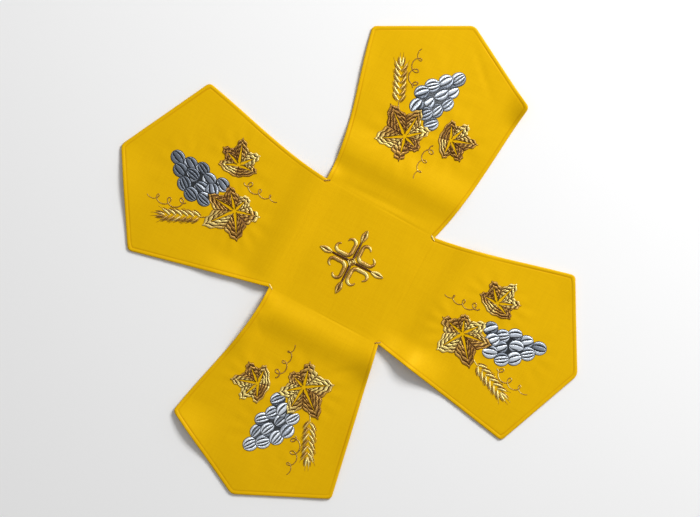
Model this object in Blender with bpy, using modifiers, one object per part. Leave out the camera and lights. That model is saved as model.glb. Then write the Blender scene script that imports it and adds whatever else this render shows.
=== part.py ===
"""Cross-shaped chalice veil, laid out on a flat surface.

One lined satin cloth: a square centre and, at each of its four sides, a five-sided arm that flares
from the square to two shoulders and ends in a blunt point. A cross is embroidered on the square. Each
arm carries an embroidered spray: a bunch of grapes, a large and a small vine leaf, an ear of wheat.

The cloth lies on the plane z = 0. +X runs along one arm and +Y along the next, seen from above, and
the origin is under the middle of the veil's box. All sizes below are in millimetres.
"""

import math
from typing import NamedTuple

import bmesh
import bpy
import numpy as np
from mathutils import Euler, Matrix, Vector

MM = 0.001

# Driving dimensions of the cloth
HALF_SIDE = 42.5
SHEET = 1.5
RIM_SOFTENING = 0.4
RIDGE_RUN = 46.0
RIDGE_FADE = 12.0

# Driving dimensions of the embroidery
PIECE_GAP = 0.35
GRAPE_WIDTH = 9.6
GRAPE_HEIGHT = 1.3
LENS_SINK = 0.12
LEAF_EDGE = 0.5
LEAF_CROWN = 1.0
GRAIN_LENGTH = 8.6
GRAIN_WIDTH = 3.2
GRAIN_HEIGHT = 1.0
GRAIN_SPREAD = 30.0
GRAIN_STAGGER = 0.12
STEM_WIDTH = 1.8
STEM_HEIGHT = 0.8
STEM_OVERRUN = 1.0
CROSS_BAND = 2.7
CROSS_HEIGHT = 1.0

# Fineness of the meshes
SQUARE_STEPS = 12
ARM_STEPS = 16
ARM_STEP_BIAS = 1.2
LENS_RINGS = 6
GRAPE_STEPS = 10
GRAIN_STEPS = 8
LOBE_STEPS = 10
CORNER_STEPS = 3
HOOK_STEPS = 8


class Arm(NamedTuple):
    """Cut of one arm: out from the square's middle, aside to the left as seen facing outwards.

    A bow is how far a side edge leaves its straight line, outwards where positive. The spray is
    stitched a little off its place: outwards, and aside towards its wheat. On a mirrored arm the
    spray's left and right are exchanged.
    """

    name: str
    turn: float
    left_out: float
    left_aside: float
    tip_out: float
    tip_aside: float
    right_out: float
    right_aside: float
    left_bow: float
    right_bow: float
    spray_out: float
    spray_aside: float
    mirrored: bool


ARMS = (
    Arm("right", 0.0, 141.6, 62.4, 174.6, 1.5, 148.2, -62.7, -1.5, 0.0, -3.5, 2.0, True),
    Arm("top", 90.0, 151.7, 61.9, 184.1, -1.1, 150.4, -60.2, -3.5, 2.5, 0.0, 0.0, False),
    Arm("left", 180.0, 141.6, 63.7, 179.0, 0.7, 143.9, -65.4, 0.0, -2.0, -6.0, -1.5, False),
    Arm("bottom", 270.0, 152.3, 62.3, 180.9, -0.9, 147.7, -63.0, 0.0, -3.5, -2.0, 3.0, False),
)

# Corners of the square, each between an arm of the table above and the next one
CORNERS = ((43.4, 41.2), (-41.8, 43.4), (-43.0, -41.6), (42.4, -42.4))


class Ridge(NamedTuple):
    """Soft fold across an arm, parallel to the square's side: crest out from that side, and slopes."""

    arm: str
    left_crest: float
    right_crest: float
    inner_reach: float
    outer_reach: float
    left_height: float
    right_height: float


RIDGES = (
    Ridge("right", 31.0, 25.0, 17.0, 20.0, 2.8, 2.2),
    Ridge("top", 27.0, 26.0, 17.0, 22.0, 2.4, 2.0),
    Ridge("left", 4.0, 3.0, 17.0, 21.0, 3.2, 3.0),
    Ridge("bottom", 12.0, 14.0, 16.0, 18.0, 2.0, 2.4),
)


class Lift(NamedTuple):
    """Place where an edge stands off the surface: out from the square's side, aside, and reaches."""

    arm: str
    out: float
    aside: float
    along: float
    across: float
    height: float


LIFTS = (
    Lift("right", 22.0, -54.0, 38.0, 26.0, 7.0),
    Lift("right", 116.0, 64.0, 26.0, 24.0, 2.2),
    Lift("top", 110.0, -66.0, 22.0, 24.0, 7.5),
    Lift("top", 70.0, 62.0, 44.0, 18.0, 2.0),
    Lift("left", 132.0, 34.0, 34.0, 40.0, 2.6),
    Lift("left", 34.0, 52.0, 30.0, 18.0, 2.4),
    Lift("bottom", 26.0, -54.0, 32.0, 24.0, 6.5),
    Lift("bottom", 122.0, -52.0, 32.0, 30.0, 5.0),
    Lift("bottom", 60.0, 60.0, 50.0, 16.0, 1.8),
)


class Motif(NamedTuple):
    """Place of an embroidered motif on an arm: out from the square's side, aside, and its turn."""

    out: float
    aside: float
    turn: float


GRAPES = Motif(68.0, 9.5, -25.0)
LARGE_LEAF = Motif(51.5, 7.0, 23.0)
SMALL_LEAF = Motif(63.5, -22.5, -58.0)
WHEAT = Motif(70.0, 21.5, 23.0)


class GrapeRow(NamedTuple):
    """Row across the bunch: its distance from the stem, its first grape's place aside, its count."""

    along: float
    first: float
    count: int


GRAPE_PITCH = 8.0
GRAPE_UNEVENNESS = 1.3
GRAPE_ROWS = (
    GrapeRow(5.5, 2.6, 3),
    GrapeRow(13.8, 7.6, 3),
    GrapeRow(22.4, 6.8, 3),
    GrapeRow(31.6, 3.2, 2),
    GrapeRow(39.4, -0.9, 1),
)


class Lobe(NamedTuple):
    """Lobe of a leaf: the direction of its tip from the leaf's axis, in degrees, and its length."""

    turn: float
    length: float


LEAF_NOTCH = 0.62
LEAF_SHARPNESS = 1.5
LEAF_CLEARANCE = 0.9
COVER_STRETCH = 5.0
LARGE_LOBES = (
    Lobe(-28.0, 22.0),
    Lobe(28.0, 25.0),
    Lobe(98.0, 21.5),
    Lobe(170.0, 18.5),
    Lobe(228.0, 14.0),
    Lobe(286.0, 18.5),
)
SMALL_LOBES = (
    Lobe(-14.0, 19.5),
    Lobe(36.0, 17.0),
    Lobe(82.0, 14.5),
    Lobe(240.0, 14.0),
    Lobe(288.0, 16.5),
)

GRAIN_PAIRS = 6
GRAIN_PITCH = 4.2
GRAIN_ROOT = 1.05
GRAIN_OVERLAP = 0.6
GRAIN_TIP = 2.6

# Path of one band of the cross in a quarter: from its middle by the centre to the hook at its end
CROSS_TIP = 24.0
CROSS_BUD_LENGTH = 9.0
CROSS_BUD_WIDTH = 4.8
BAND_OFFSET = 2.9
BAND_CORNER = 3.4
BAND_STRAIGHT = 11.6
HOOK_RADIUS = 3.1
HOOK_SWEEP = 165.0
HOOK_THINNING = 0.62
RIB_WIDTH = 4.4
RIB_HEIGHT = 0.7


def to_plan(arm, out, aside):
    """Turn a place on an arm (out from the square's middle, aside) into plan coordinates."""
    angle = math.radians(arm.turn)
    x = out * math.cos(angle) - aside * math.sin(angle)
    y = out * math.sin(angle) + aside * math.cos(angle)
    return x, y


def outline_box():
    """Return the middle of the box around the cut, seen from above."""
    points = [to_plan(arm, out, aside)
              for arm in ARMS
              for out, aside in ((arm.left_out, arm.left_aside),
                                 (arm.tip_out, arm.tip_aside),
                                 (arm.right_out, arm.right_aside))]
    points = np.array(points)
    return (points.min(axis=0) + points.max(axis=0)) / 2.0


def to_arm(arm, x, y):
    """Turn plan coordinates into the arm's own: out from the square's side, and aside."""
    angle = math.radians(arm.turn)
    out = x * math.cos(angle) + y * math.sin(angle) - HALF_SIDE
    aside = -x * math.sin(angle) + y * math.cos(angle)
    return out, aside


def swell(distance, reach):
    """Rise of a soft fold: 1 at its middle, falling to 0 at its reach along a cosine."""
    if abs(distance) >= reach:
        return 0.0
    return 0.5 * (1.0 + math.cos(math.pi * distance / reach))


def drape(x, y):
    """Height of the cloth's underside over the surface at a place in plan."""
    height = 0.0
    arms = {arm.name: arm for arm in ARMS}
    for ridge in RIDGES:
        out, aside = to_arm(arms[ridge.arm], x, y)
        share = min(max(0.5 + aside / (2.0 * RIDGE_RUN), 0.0), 1.0)
        crest = ridge.right_crest + share * (ridge.left_crest - ridge.right_crest)
        rise = ridge.right_height + share * (ridge.left_height - ridge.right_height)
        offset = out - crest
        reach = ridge.outer_reach if offset > 0.0 else ridge.inner_reach
        fade = swell(max(abs(aside) - RIDGE_RUN, 0.0), RIDGE_FADE)
        height += rise * fade * swell(offset, reach)
    for lift in LIFTS:
        out, aside = to_arm(arms[lift.arm], x, y)
        height += lift.height * swell(out - lift.out, lift.along) * swell(aside - lift.aside, lift.across)
    return height


def new_collection(name):
    """Make a collection in the scene."""
    collection = bpy.data.collections.new(name)
    bpy.context.scene.collection.children.link(collection)
    return collection


def new_material(name, colour, roughness, metallic):
    """Make a Principled material from a linear colour."""
    material = bpy.data.materials.new(name)
    material.use_nodes = True
    shader = material.node_tree.nodes["Principled BSDF"]
    shader.inputs["Base Color"].default_value = (*colour, 1.0)
    shader.inputs["Roughness"].default_value = roughness
    shader.inputs["Metallic"].default_value = metallic
    material.diffuse_color = (*colour, 1.0)
    return material


def new_object(name, mesh, collection, material=None):
    """Link a mesh to a collection as an object."""
    piece = bpy.data.objects.new(name, mesh)
    collection.objects.link(piece)
    if material is not None:
        mesh.materials.append(material)
    return piece


def side_edge(corner, shoulder, bow, t):
    """Place on an arm's side edge, from the square's corner at t = 0 to the shoulder at t = 1.

    The edge leaves the straight line by the bow at a third of its length, outwards where positive.
    """
    along = shoulder - corner
    outwards = Vector((-along.y, along.x)).normalized()
    return corner + along * t + outwards * bow * t * (1.0 - t) ** 2 * 27.0 / 4.0


def arm_place(arm, index, s, t):
    """Place on an arm: s runs from its left edge to its right one, t from the square outwards.

    Side edges and the two edges of the point bound the patch, and straight lines fill it.
    """
    left_corner = Vector(CORNERS[index])
    right_corner = Vector(CORNERS[index - 1])
    left = Vector(to_plan(arm, arm.left_out, arm.left_aside))
    tip = Vector(to_plan(arm, arm.tip_out, arm.tip_aside))
    right = Vector(to_plan(arm, arm.right_out, arm.right_aside))
    end = left.lerp(tip, 2.0 * s) if s < 0.5 else tip.lerp(right, 2.0 * s - 1.0)
    base = left_corner.lerp(right_corner, s)
    left_bow = side_edge(left_corner, left, arm.left_bow, t) - left_corner.lerp(left, t)
    right_bow = side_edge(right_corner, right, -arm.right_bow, t) - right_corner.lerp(right, t)
    return base.lerp(end, t) + left_bow * (1.0 - s) + right_bow * s


def square_place(s, t):
    """Place on the square: between its corners by straight lines both ways."""
    right_side = Vector(CORNERS[3]).lerp(Vector(CORNERS[0]), t)
    left_side = Vector(CORNERS[2]).lerp(Vector(CORNERS[1]), t)
    return left_side.lerp(right_side, s)


def add_patch(bm, columns, rows, place):
    """Add a grid to the mesh and put each of its points where the function says."""
    patch = bmesh.ops.create_grid(bm, x_segments=columns, y_segments=rows, size=0.5)
    for vertex in patch["verts"]:
        spot = place(vertex.co.x + 0.5, vertex.co.y + 0.5)
        vertex.co = (spot.x, spot.y, 0.0)


def drape_mesh(bm, middle):
    """Lift every point by the drape, centre the plan and turn millimetres into metres."""
    for vertex in bm.verts:
        x, y, z = vertex.co
        vertex.co = Vector((x - middle[0], y - middle[1], z + drape(x, y))) * MM


def make_cloth(collection, material, middle):
    """Make the cloth: a square patch, four arm patches, the sheet's thickness and a soft rim."""
    bm = bmesh.new()
    add_patch(bm, SQUARE_STEPS, SQUARE_STEPS, square_place)
    for index, arm in enumerate(ARMS):
        add_patch(bm, SQUARE_STEPS, ARM_STEPS,
                  lambda s, t, arm=arm, index=index: arm_place(arm, index, s, t ** ARM_STEP_BIAS))
    bmesh.ops.remove_doubles(bm, verts=bm.verts, dist=0.01)
    grown = bmesh.ops.extrude_face_region(bm, geom=bm.faces[:])
    raised = [item for item in grown["geom"] if isinstance(item, bmesh.types.BMVert)]
    bmesh.ops.translate(bm, verts=raised, vec=(0.0, 0.0, SHEET))
    drape_mesh(bm, middle)
    bmesh.ops.recalc_face_normals(bm, faces=bm.faces)
    mesh = bpy.data.meshes.new("cloth")
    bm.to_mesh(mesh)
    bm.free()
    cloth = new_object("cloth", mesh, collection, material)
    rim = cloth.modifiers.new("soft rim", "BEVEL")
    rim.width = RIM_SOFTENING * MM
    rim.segments = 1
    rim.limit_method = "ANGLE"
    rim.angle_limit = math.radians(60.0)
    mesh.shade_smooth()
    mesh.set_sharp_from_angle(angle=math.radians(50.0))
    return cloth


def motif_frame(motif):
    """Return the matrix from a motif's own frame to its place on an arm."""
    place = Matrix.Translation((motif.out, motif.aside, 0.0))
    return place @ Matrix.Rotation(math.radians(motif.turn), 4, "Z")


def lens(collection, name, frame, centre, radii, turn, steps):
    """Make a closed ellipsoid for joining to others, its widest ring sunk a little below z = 0."""
    bm = bmesh.new()
    spin = Euler((0.0, 0.0, math.radians(turn)))
    place = frame @ Matrix.LocRotScale(Vector((*centre, -LENS_SINK)), spin, Vector(radii))
    bmesh.ops.create_uvsphere(bm, u_segments=steps, v_segments=LENS_RINGS, radius=1.0, matrix=place)
    mesh = bpy.data.meshes.new(name)
    bm.to_mesh(mesh)
    bm.free()
    return new_object(name, mesh, collection)


def hide_guides(guides):
    """Keep the helper shapes out of the model."""
    for guide in guides:
        guide.hide_render = True
        guide.display_type = "WIRE"


def fused(pieces, covers=()):
    """Join overlapping closed pieces into one body, cut flat at z = 0, and return its bmesh.

    The covers are cut away from it, where another motif lies over this one.
    """
    body, *others = pieces
    for operation, tools in (("UNION", others), ("DIFFERENCE", covers)):
        for tool in tools:
            joint = body.modifiers.new(tool.name, "BOOLEAN")
            joint.operation = operation
            joint.object = tool
    hide_guides([*pieces, *covers])
    evaluated = body.evaluated_get(bpy.context.evaluated_depsgraph_get())
    bm = bmesh.new()
    bm.from_mesh(evaluated.to_mesh())
    evaluated.to_mesh_clear()
    cut = bmesh.ops.bisect_plane(bm, geom=bm.verts[:] + bm.edges[:] + bm.faces[:], dist=0.0001,
                                 plane_co=(0.0, 0.0, 0.0), plane_no=(0.0, 0.0, 1.0), clear_inner=True)
    rim = [item for item in cut["geom_cut"] if isinstance(item, bmesh.types.BMEdge)]
    bmesh.ops.holes_fill(bm, edges=rim, sides=0)
    bmesh.ops.triangulate(bm, faces=bm.faces[:])
    return bm


def bunch_of_grapes(cutters):
    """Model the bunch on its arm: rows of domed grapes along +X, cut back where the large leaf lies."""
    grapes = []
    frame = motif_frame(GRAPES)
    radii = (GRAPE_WIDTH / 2.0, GRAPE_WIDTH / 2.0, GRAPE_HEIGHT)
    for row_number, row in enumerate(GRAPE_ROWS):
        for place in range(row.count):
            aside = row.first - place * GRAPE_PITCH
            along = row.along + GRAPE_UNEVENNESS * (place % 2) * (-1) ** row_number
            name = f"grape_{row_number}_{place}"
            grapes.append(lens(cutters, name, frame, (along, aside), radii, 0.0, GRAPE_STEPS))
    leaf = vine_leaf(LARGE_LOBES, LARGE_LEAF, LEAF_CLEARANCE)
    bmesh.ops.scale(leaf, verts=leaf.verts, vec=(1.0, 1.0, COVER_STRETCH))
    bmesh.ops.translate(leaf, verts=leaf.verts, vec=(0.0, 0.0, -LEAF_CROWN))
    mesh = bpy.data.meshes.new("leaf_cover")
    leaf.to_mesh(mesh)
    leaf.free()
    return fused(grapes, [new_object("leaf_cover", mesh, cutters)])


def ear_of_wheat(cutters):
    """Model the ear on its arm: a stem along +X, pairs of grains beside it and one at the tip."""
    frame = motif_frame(WHEAT)
    length = GRAIN_PAIRS * GRAIN_PITCH
    stem_radii = (length / 2.0 + STEM_OVERRUN, STEM_WIDTH / 2.0, STEM_HEIGHT)
    pieces = [lens(cutters, "stem", frame, (length / 2.0, 0.0), stem_radii, 0.0, GRAIN_STEPS - 1)]
    spread = math.radians(GRAIN_SPREAD)
    radii = (GRAIN_LENGTH / 2.0, GRAIN_WIDTH / 2.0, GRAIN_HEIGHT)
    reach = GRAIN_LENGTH / 2.0 - GRAIN_OVERLAP
    for pair in range(GRAIN_PAIRS):
        for side in (-1.0, 1.0):
            root = GRAIN_ROOT + (pair + GRAIN_STAGGER * side) * GRAIN_PITCH
            centre = (root + reach * math.cos(spread), side * reach * math.sin(spread))
            name = f"grain_{pair}_{'left' if side > 0 else 'right'}"
            pieces.append(lens(cutters, name, frame, centre, radii, side * GRAIN_SPREAD, GRAIN_STEPS))
    pieces.append(lens(cutters, "grain_tip", frame, (length + GRAIN_TIP, 0.0), radii, 0.0, GRAIN_STEPS))
    return fused(pieces)


def leaf_edge(lobe, following, share):
    """Place on a leaf's edge as an angle and a distance from the leaf's middle.

    The share runs from 0 at one lobe's tip to 1 at the next one's, with a round notch between them.
    """
    sweep = (following.turn - lobe.turn) % 360.0
    length = lobe.length + share * (following.length - lobe.length)
    fall = math.sin(math.pi * share) ** LEAF_SHARPNESS
    return math.radians(lobe.turn + share * sweep), length * (1.0 - (1.0 - LEAF_NOTCH) * fall)


def vine_leaf(lobes, motif, growth=0.0):
    """Model a leaf on its arm: a disc of spokes drawn out to the lobes, crowned and thickened."""
    bm = bmesh.new()
    segments = LOBE_STEPS * len(lobes)
    bmesh.ops.create_circle(bm, cap_ends=True, cap_tris=True, segments=segments, radius=1.0)
    rim = sorted((vertex for vertex in bm.verts if vertex.is_boundary),
                 key=lambda vertex: math.atan2(vertex.co.y, vertex.co.x) % (2.0 * math.pi))
    for number, vertex in enumerate(rim):
        first, step = divmod(number, LOBE_STEPS)
        angle, reach = leaf_edge(lobes[first], lobes[(first + 1) % len(lobes)], step / LOBE_STEPS)
        reach += growth
        vertex.co = (reach * math.cos(angle), reach * math.sin(angle), LEAF_EDGE)
    spokes = [edge for edge in bm.edges if not edge.is_boundary]
    bmesh.ops.subdivide_edges(bm, edges=spokes, cuts=1)
    for vertex in bm.verts:
        if not vertex.is_boundary:
            vertex.co.z = LEAF_CROWN
    bmesh.ops.triangulate(bm, faces=bm.faces[:])
    grown = bmesh.ops.extrude_face_region(bm, geom=bm.faces[:])
    for item in grown["geom"]:
        if isinstance(item, bmesh.types.BMVert):
            item.co.z = 0.0
    bmesh.ops.transform(bm, matrix=motif_frame(motif), verts=bm.verts)
    bmesh.ops.recalc_face_normals(bm, faces=bm.faces)
    return bm


def band_path():
    """Points of one band of the cross, in the quarter between +X and +Y, from hook to hook.

    A quarter turn by the centre, a straight run along each arm and a hook that curls back from it.
    """
    half = []
    corner = BAND_OFFSET + BAND_CORNER
    for step in range(CORNER_STEPS + 1):
        angle = math.radians(225.0 + 45.0 * step / CORNER_STEPS)
        half.append((corner + BAND_CORNER * math.cos(angle), corner + BAND_CORNER * math.sin(angle)))
    for step in range(HOOK_STEPS + 1):
        angle = math.radians(-90.0 + HOOK_SWEEP * step / HOOK_STEPS)
        half.append((BAND_STRAIGHT + HOOK_RADIUS * math.cos(angle),
                     BAND_OFFSET + HOOK_RADIUS * (1.0 + math.sin(angle))))
    return [(y, x) for x, y in reversed(half[1:])] + half


def cross_band(cutters, quarter):
    """Make one band of the cross as a flattened tube that thins towards its hooks."""
    curve = bpy.data.curves.new(f"band_{quarter}", "CURVE")
    curve.dimensions = "3D"
    curve.bevel_depth = CROSS_BAND / 2.0
    curve.bevel_resolution = 1
    curve.use_fill_caps = True
    points = band_path()
    spline = curve.splines.new("POLY")
    spline.points.add(len(points) - 1)
    middle = (len(points) - 1) / 2.0
    for number, (x, y) in enumerate(points):
        thinning = 1.0 - HOOK_THINNING * (abs(number - middle) / middle) ** 3
        spline.points[number].co = (x, y, 0.0, 1.0)
        spline.points[number].radius = thinning
    guide = bpy.data.objects.new(curve.name, curve)
    guide.rotation_euler.z = math.radians(90.0 * quarter)
    guide.scale.z = CROSS_HEIGHT / CROSS_BAND * 2.0
    guide.location.z = -LENS_SINK
    cutters.objects.link(guide)
    bpy.context.view_layer.update()
    evaluated = guide.evaluated_get(bpy.context.evaluated_depsgraph_get())
    mesh = bpy.data.meshes.new_from_object(evaluated)
    bm = bmesh.new()
    bm.from_mesh(mesh)
    bmesh.ops.remove_doubles(bm, verts=bm.verts, dist=0.0001)
    bmesh.ops.transform(bm, matrix=guide.matrix_world, verts=bm.verts)
    bm.to_mesh(mesh)
    bm.free()
    name = guide.name
    bpy.data.objects.remove(guide)
    return new_object(name, mesh, cutters)


def centre_cross(cutters):
    """Model the cross: ribs, a boss, a bud at each tip and a hooked band in each quarter."""
    rib = (CROSS_TIP - CROSS_BUD_LENGTH / 2.0, RIB_WIDTH / 2.0, RIB_HEIGHT)
    bud = (CROSS_BUD_LENGTH / 2.0, CROSS_BUD_WIDTH / 2.0, CROSS_HEIGHT)
    boss = (BAND_OFFSET + BAND_CORNER, BAND_OFFSET + BAND_CORNER, CROSS_HEIGHT)
    frame = Matrix.Identity(4)
    pieces = [lens(cutters, "boss", frame, (0.0, 0.0), boss, 0.0, GRAIN_STEPS)]
    for turn in (0.0, 90.0):
        pieces.append(lens(cutters, f"rib_{turn:.0f}", frame, (0.0, 0.0), rib, turn, GRAIN_STEPS))
    for quarter in range(4):
        angle = math.radians(90.0 * quarter)
        reach = CROSS_TIP - CROSS_BUD_LENGTH / 2.0
        centre = (reach * math.cos(angle), reach * math.sin(angle))
        pieces.append(lens(cutters, f"bud_{quarter}", frame, centre, bud, 90.0 * quarter, GRAIN_STEPS))
        pieces.append(cross_band(cutters, quarter))
    return fused(pieces)


def lay_on_cloth(bm, name, collection, material, middle):
    """Lay a motif, in plan millimetres, on the draped cloth with the gap between pieces under it."""
    bmesh.ops.translate(bm, verts=bm.verts, vec=(0.0, 0.0, SHEET + PIECE_GAP))
    drape_mesh(bm, middle)
    bmesh.ops.recalc_face_normals(bm, faces=bm.faces)
    mesh = bpy.data.meshes.new(name)
    bm.to_mesh(mesh)
    bm.free()
    piece = new_object(name, mesh, collection, material)
    mesh.shade_smooth()
    mesh.set_sharp_from_angle(angle=math.radians(40.0))
    return piece


def on_arm(source, arm):
    """Copy a motif's bmesh to one of the arms, in plan millimetres."""
    bm = source.copy()
    side = -1.0 if arm.mirrored else 1.0
    for vertex in bm.verts:
        out, aside, height = vertex.co
        x, y = to_plan(arm, HALF_SIDE + arm.spray_out + out, side * (arm.spray_aside + aside))
        vertex.co = (x, y, height)
    return bm


def main():
    """Build the veil: the cloth, the cross on its square and the spray on each arm.

    The helper shapes are drawn in millimetres too, so they are scaled down once they have been used.
    """
    for old in list(bpy.data.objects):
        bpy.data.objects.remove(old, do_unlink=True)
    veil = new_collection("chalice_veil")
    cutters = new_collection("cutters")
    middle = outline_box()

    satin = new_material("golden_satin", (0.68, 0.42, 0.005), 0.45, 0.0)
    silver = new_material("silver_thread", (0.55, 0.58, 0.64), 0.35, 0.7)
    gold = new_material("gold_thread", (0.62, 0.38, 0.08), 0.4, 0.5)

    make_cloth(veil, satin, middle)
    lay_on_cloth(centre_cross(cutters), "cross", veil, gold, middle)
    motifs = (
        ("grapes", bunch_of_grapes(cutters), silver),
        ("large_leaf", vine_leaf(LARGE_LOBES, LARGE_LEAF), gold),
        ("small_leaf", vine_leaf(SMALL_LOBES, SMALL_LEAF), gold),
        ("wheat", ear_of_wheat(cutters), gold),
    )
    for arm in ARMS:
        for kind, source, material in motifs:
            lay_on_cloth(on_arm(source, arm), f"{kind}_{arm.name}", veil, material, middle)
    for _, source, _ in motifs:
        source.free()
    for guide in cutters.objects:
        guide.scale *= MM


main()
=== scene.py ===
"""Cross-shaped chalice veil of golden satin, laid out flat, with its embroidery.

The satin is one closed sheet on the drape of the solid it replaces. On it lie satin-stitched columns: the
cross on the square and, on each arm, a bunch of grapes, two vine leaves, an ear of wheat and curled
tendrils. Sizes are in millimetres until a mesh is made. In plan, +X runs along the right arm and +Y along
the top one. A place on an arm is told as out from the square and aside, to the left facing outwards.
"""

import logging
from collections.abc import Callable, Iterator
from dataclasses import dataclass, field, replace
from enum import Enum

import bpy
import numpy as np
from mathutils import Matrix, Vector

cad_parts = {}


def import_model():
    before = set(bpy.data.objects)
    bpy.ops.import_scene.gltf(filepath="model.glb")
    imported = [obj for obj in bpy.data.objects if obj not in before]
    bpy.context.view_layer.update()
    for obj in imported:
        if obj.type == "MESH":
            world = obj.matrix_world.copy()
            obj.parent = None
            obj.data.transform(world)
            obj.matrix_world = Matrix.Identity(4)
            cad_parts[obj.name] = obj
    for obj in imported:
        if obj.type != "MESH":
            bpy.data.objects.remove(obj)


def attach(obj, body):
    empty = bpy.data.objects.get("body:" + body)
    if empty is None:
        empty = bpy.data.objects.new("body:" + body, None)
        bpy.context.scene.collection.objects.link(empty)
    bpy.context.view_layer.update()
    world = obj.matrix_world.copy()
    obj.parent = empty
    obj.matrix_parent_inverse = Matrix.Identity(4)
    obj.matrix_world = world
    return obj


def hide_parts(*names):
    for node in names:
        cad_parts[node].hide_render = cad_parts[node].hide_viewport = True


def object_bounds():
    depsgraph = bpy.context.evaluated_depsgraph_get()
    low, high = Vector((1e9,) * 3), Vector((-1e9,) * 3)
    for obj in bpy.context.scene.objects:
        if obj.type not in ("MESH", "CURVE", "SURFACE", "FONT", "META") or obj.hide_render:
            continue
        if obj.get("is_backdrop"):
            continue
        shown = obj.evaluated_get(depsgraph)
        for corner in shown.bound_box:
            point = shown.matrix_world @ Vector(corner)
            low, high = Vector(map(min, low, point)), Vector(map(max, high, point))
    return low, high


Array = np.ndarray
Colour = tuple[float, float, float]

LOG = logging.getLogger("chalice_veil")
MM = 0.001
TURN = 2.0 * np.pi

# Azimuth in plan that the key light comes from, in degrees, and the picture's turn on the plan
LIGHT_AZIMUTH = 72.0
PICTURE_TURN = 27.2

# Half of the square's nominal side and the sheet's thickness, as in the solids
HALF_SIDE = 42.5
SHEET = 1.5


def unit(vector: Array) -> Array:
    """Return vectors along the last axis scaled to length one."""
    return vector / np.linalg.norm(vector, axis=-1, keepdims=True)


def turned(points: Array, degrees: float) -> Array:
    """Return plan points turned anticlockwise about the origin."""
    angle = np.radians(degrees)
    x, y = points[..., 0], points[..., 1]
    return np.stack((x * np.cos(angle) - y * np.sin(angle), x * np.sin(angle) + y * np.cos(angle)), axis=-1)


def swell(distance: Array, reach: Array | float) -> Array:
    """Rise of a soft fold: 1 at its middle, falling to 0 at its reach along a cosine."""
    share = np.clip(np.abs(distance) / reach, 0.0, 1.0)
    return 0.5 * (1.0 + np.cos(np.pi * share))


def bell(distance: Array, width: float) -> Array:
    """Smooth hump of height 1: e to the minus square of the distance in widths."""
    return np.exp(-((distance / width) ** 2))


def stage_points(values: Array, count: int) -> Array:
    """Spread count points evenly over a curve given by its points, by their number.

    Args:
        values: The curve's points, one a row.
        count: How many points to return.

    Returns:
        The new points, with the curve's own first and last ones kept.
    """
    old = np.arange(len(values))
    new = np.linspace(0.0, len(values) - 1.0, count)
    return np.stack([np.interp(new, old, column) for column in values.T], axis=1)


@dataclass(frozen=True)
class Arm:
    """Cut of one arm, told from the square's middle; a bow is positive where the edge stands outwards."""

    name: str
    turn: float
    left: tuple[float, float]
    tip: tuple[float, float]
    right: tuple[float, float]
    left_bow: float
    right_bow: float
    spray_out: float
    spray_aside: float
    mirrored: bool
    sheen: float

    def to_plan(self, points: Array) -> Array:
        """Turn (out from the square's middle, aside) into plan coordinates."""
        return turned(np.asarray(points, dtype=float), self.turn)

    def to_arm(self, x: Array, y: Array) -> tuple[Array, Array]:
        """Turn plan coordinates into out from the square's side, and aside."""
        back = turned(np.stack((x, y), axis=-1), -self.turn)
        return back[..., 0] - HALF_SIDE, back[..., 1]


# The last column, sheen, is painted sheen: how much paler or darker each arm's threads are painted.
ARMS = (
    Arm("right", 0.0, (141.6, 62.4), (174.6, 1.5), (148.2, -62.7), -1.5, 0.0, -3.5, 2.0, True, 0.08),
    Arm("top", 90.0, (151.7, 61.9), (184.1, -1.1), (150.4, -60.2), -3.5, 2.5, 0.0, 0.0, False, -0.12),
    Arm("left", 180.0, (141.6, 63.7), (179.0, 0.7), (143.9, -65.4), 0.0, -2.0, -6.0, -1.5, False, -0.05),
    Arm("bottom", 270.0, (152.3, 62.3), (180.9, -0.9), (147.7, -63.0), 0.0, -3.5, -2.0, 3.0, False, 0.05),
)
ARM = {arm.name: arm for arm in ARMS}

# Corners of the square, each between an arm of the table above and the next one
CORNERS = np.array(((43.4, 41.2), (-41.8, 43.4), (-43.0, -41.6), (42.4, -42.4)))


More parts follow.
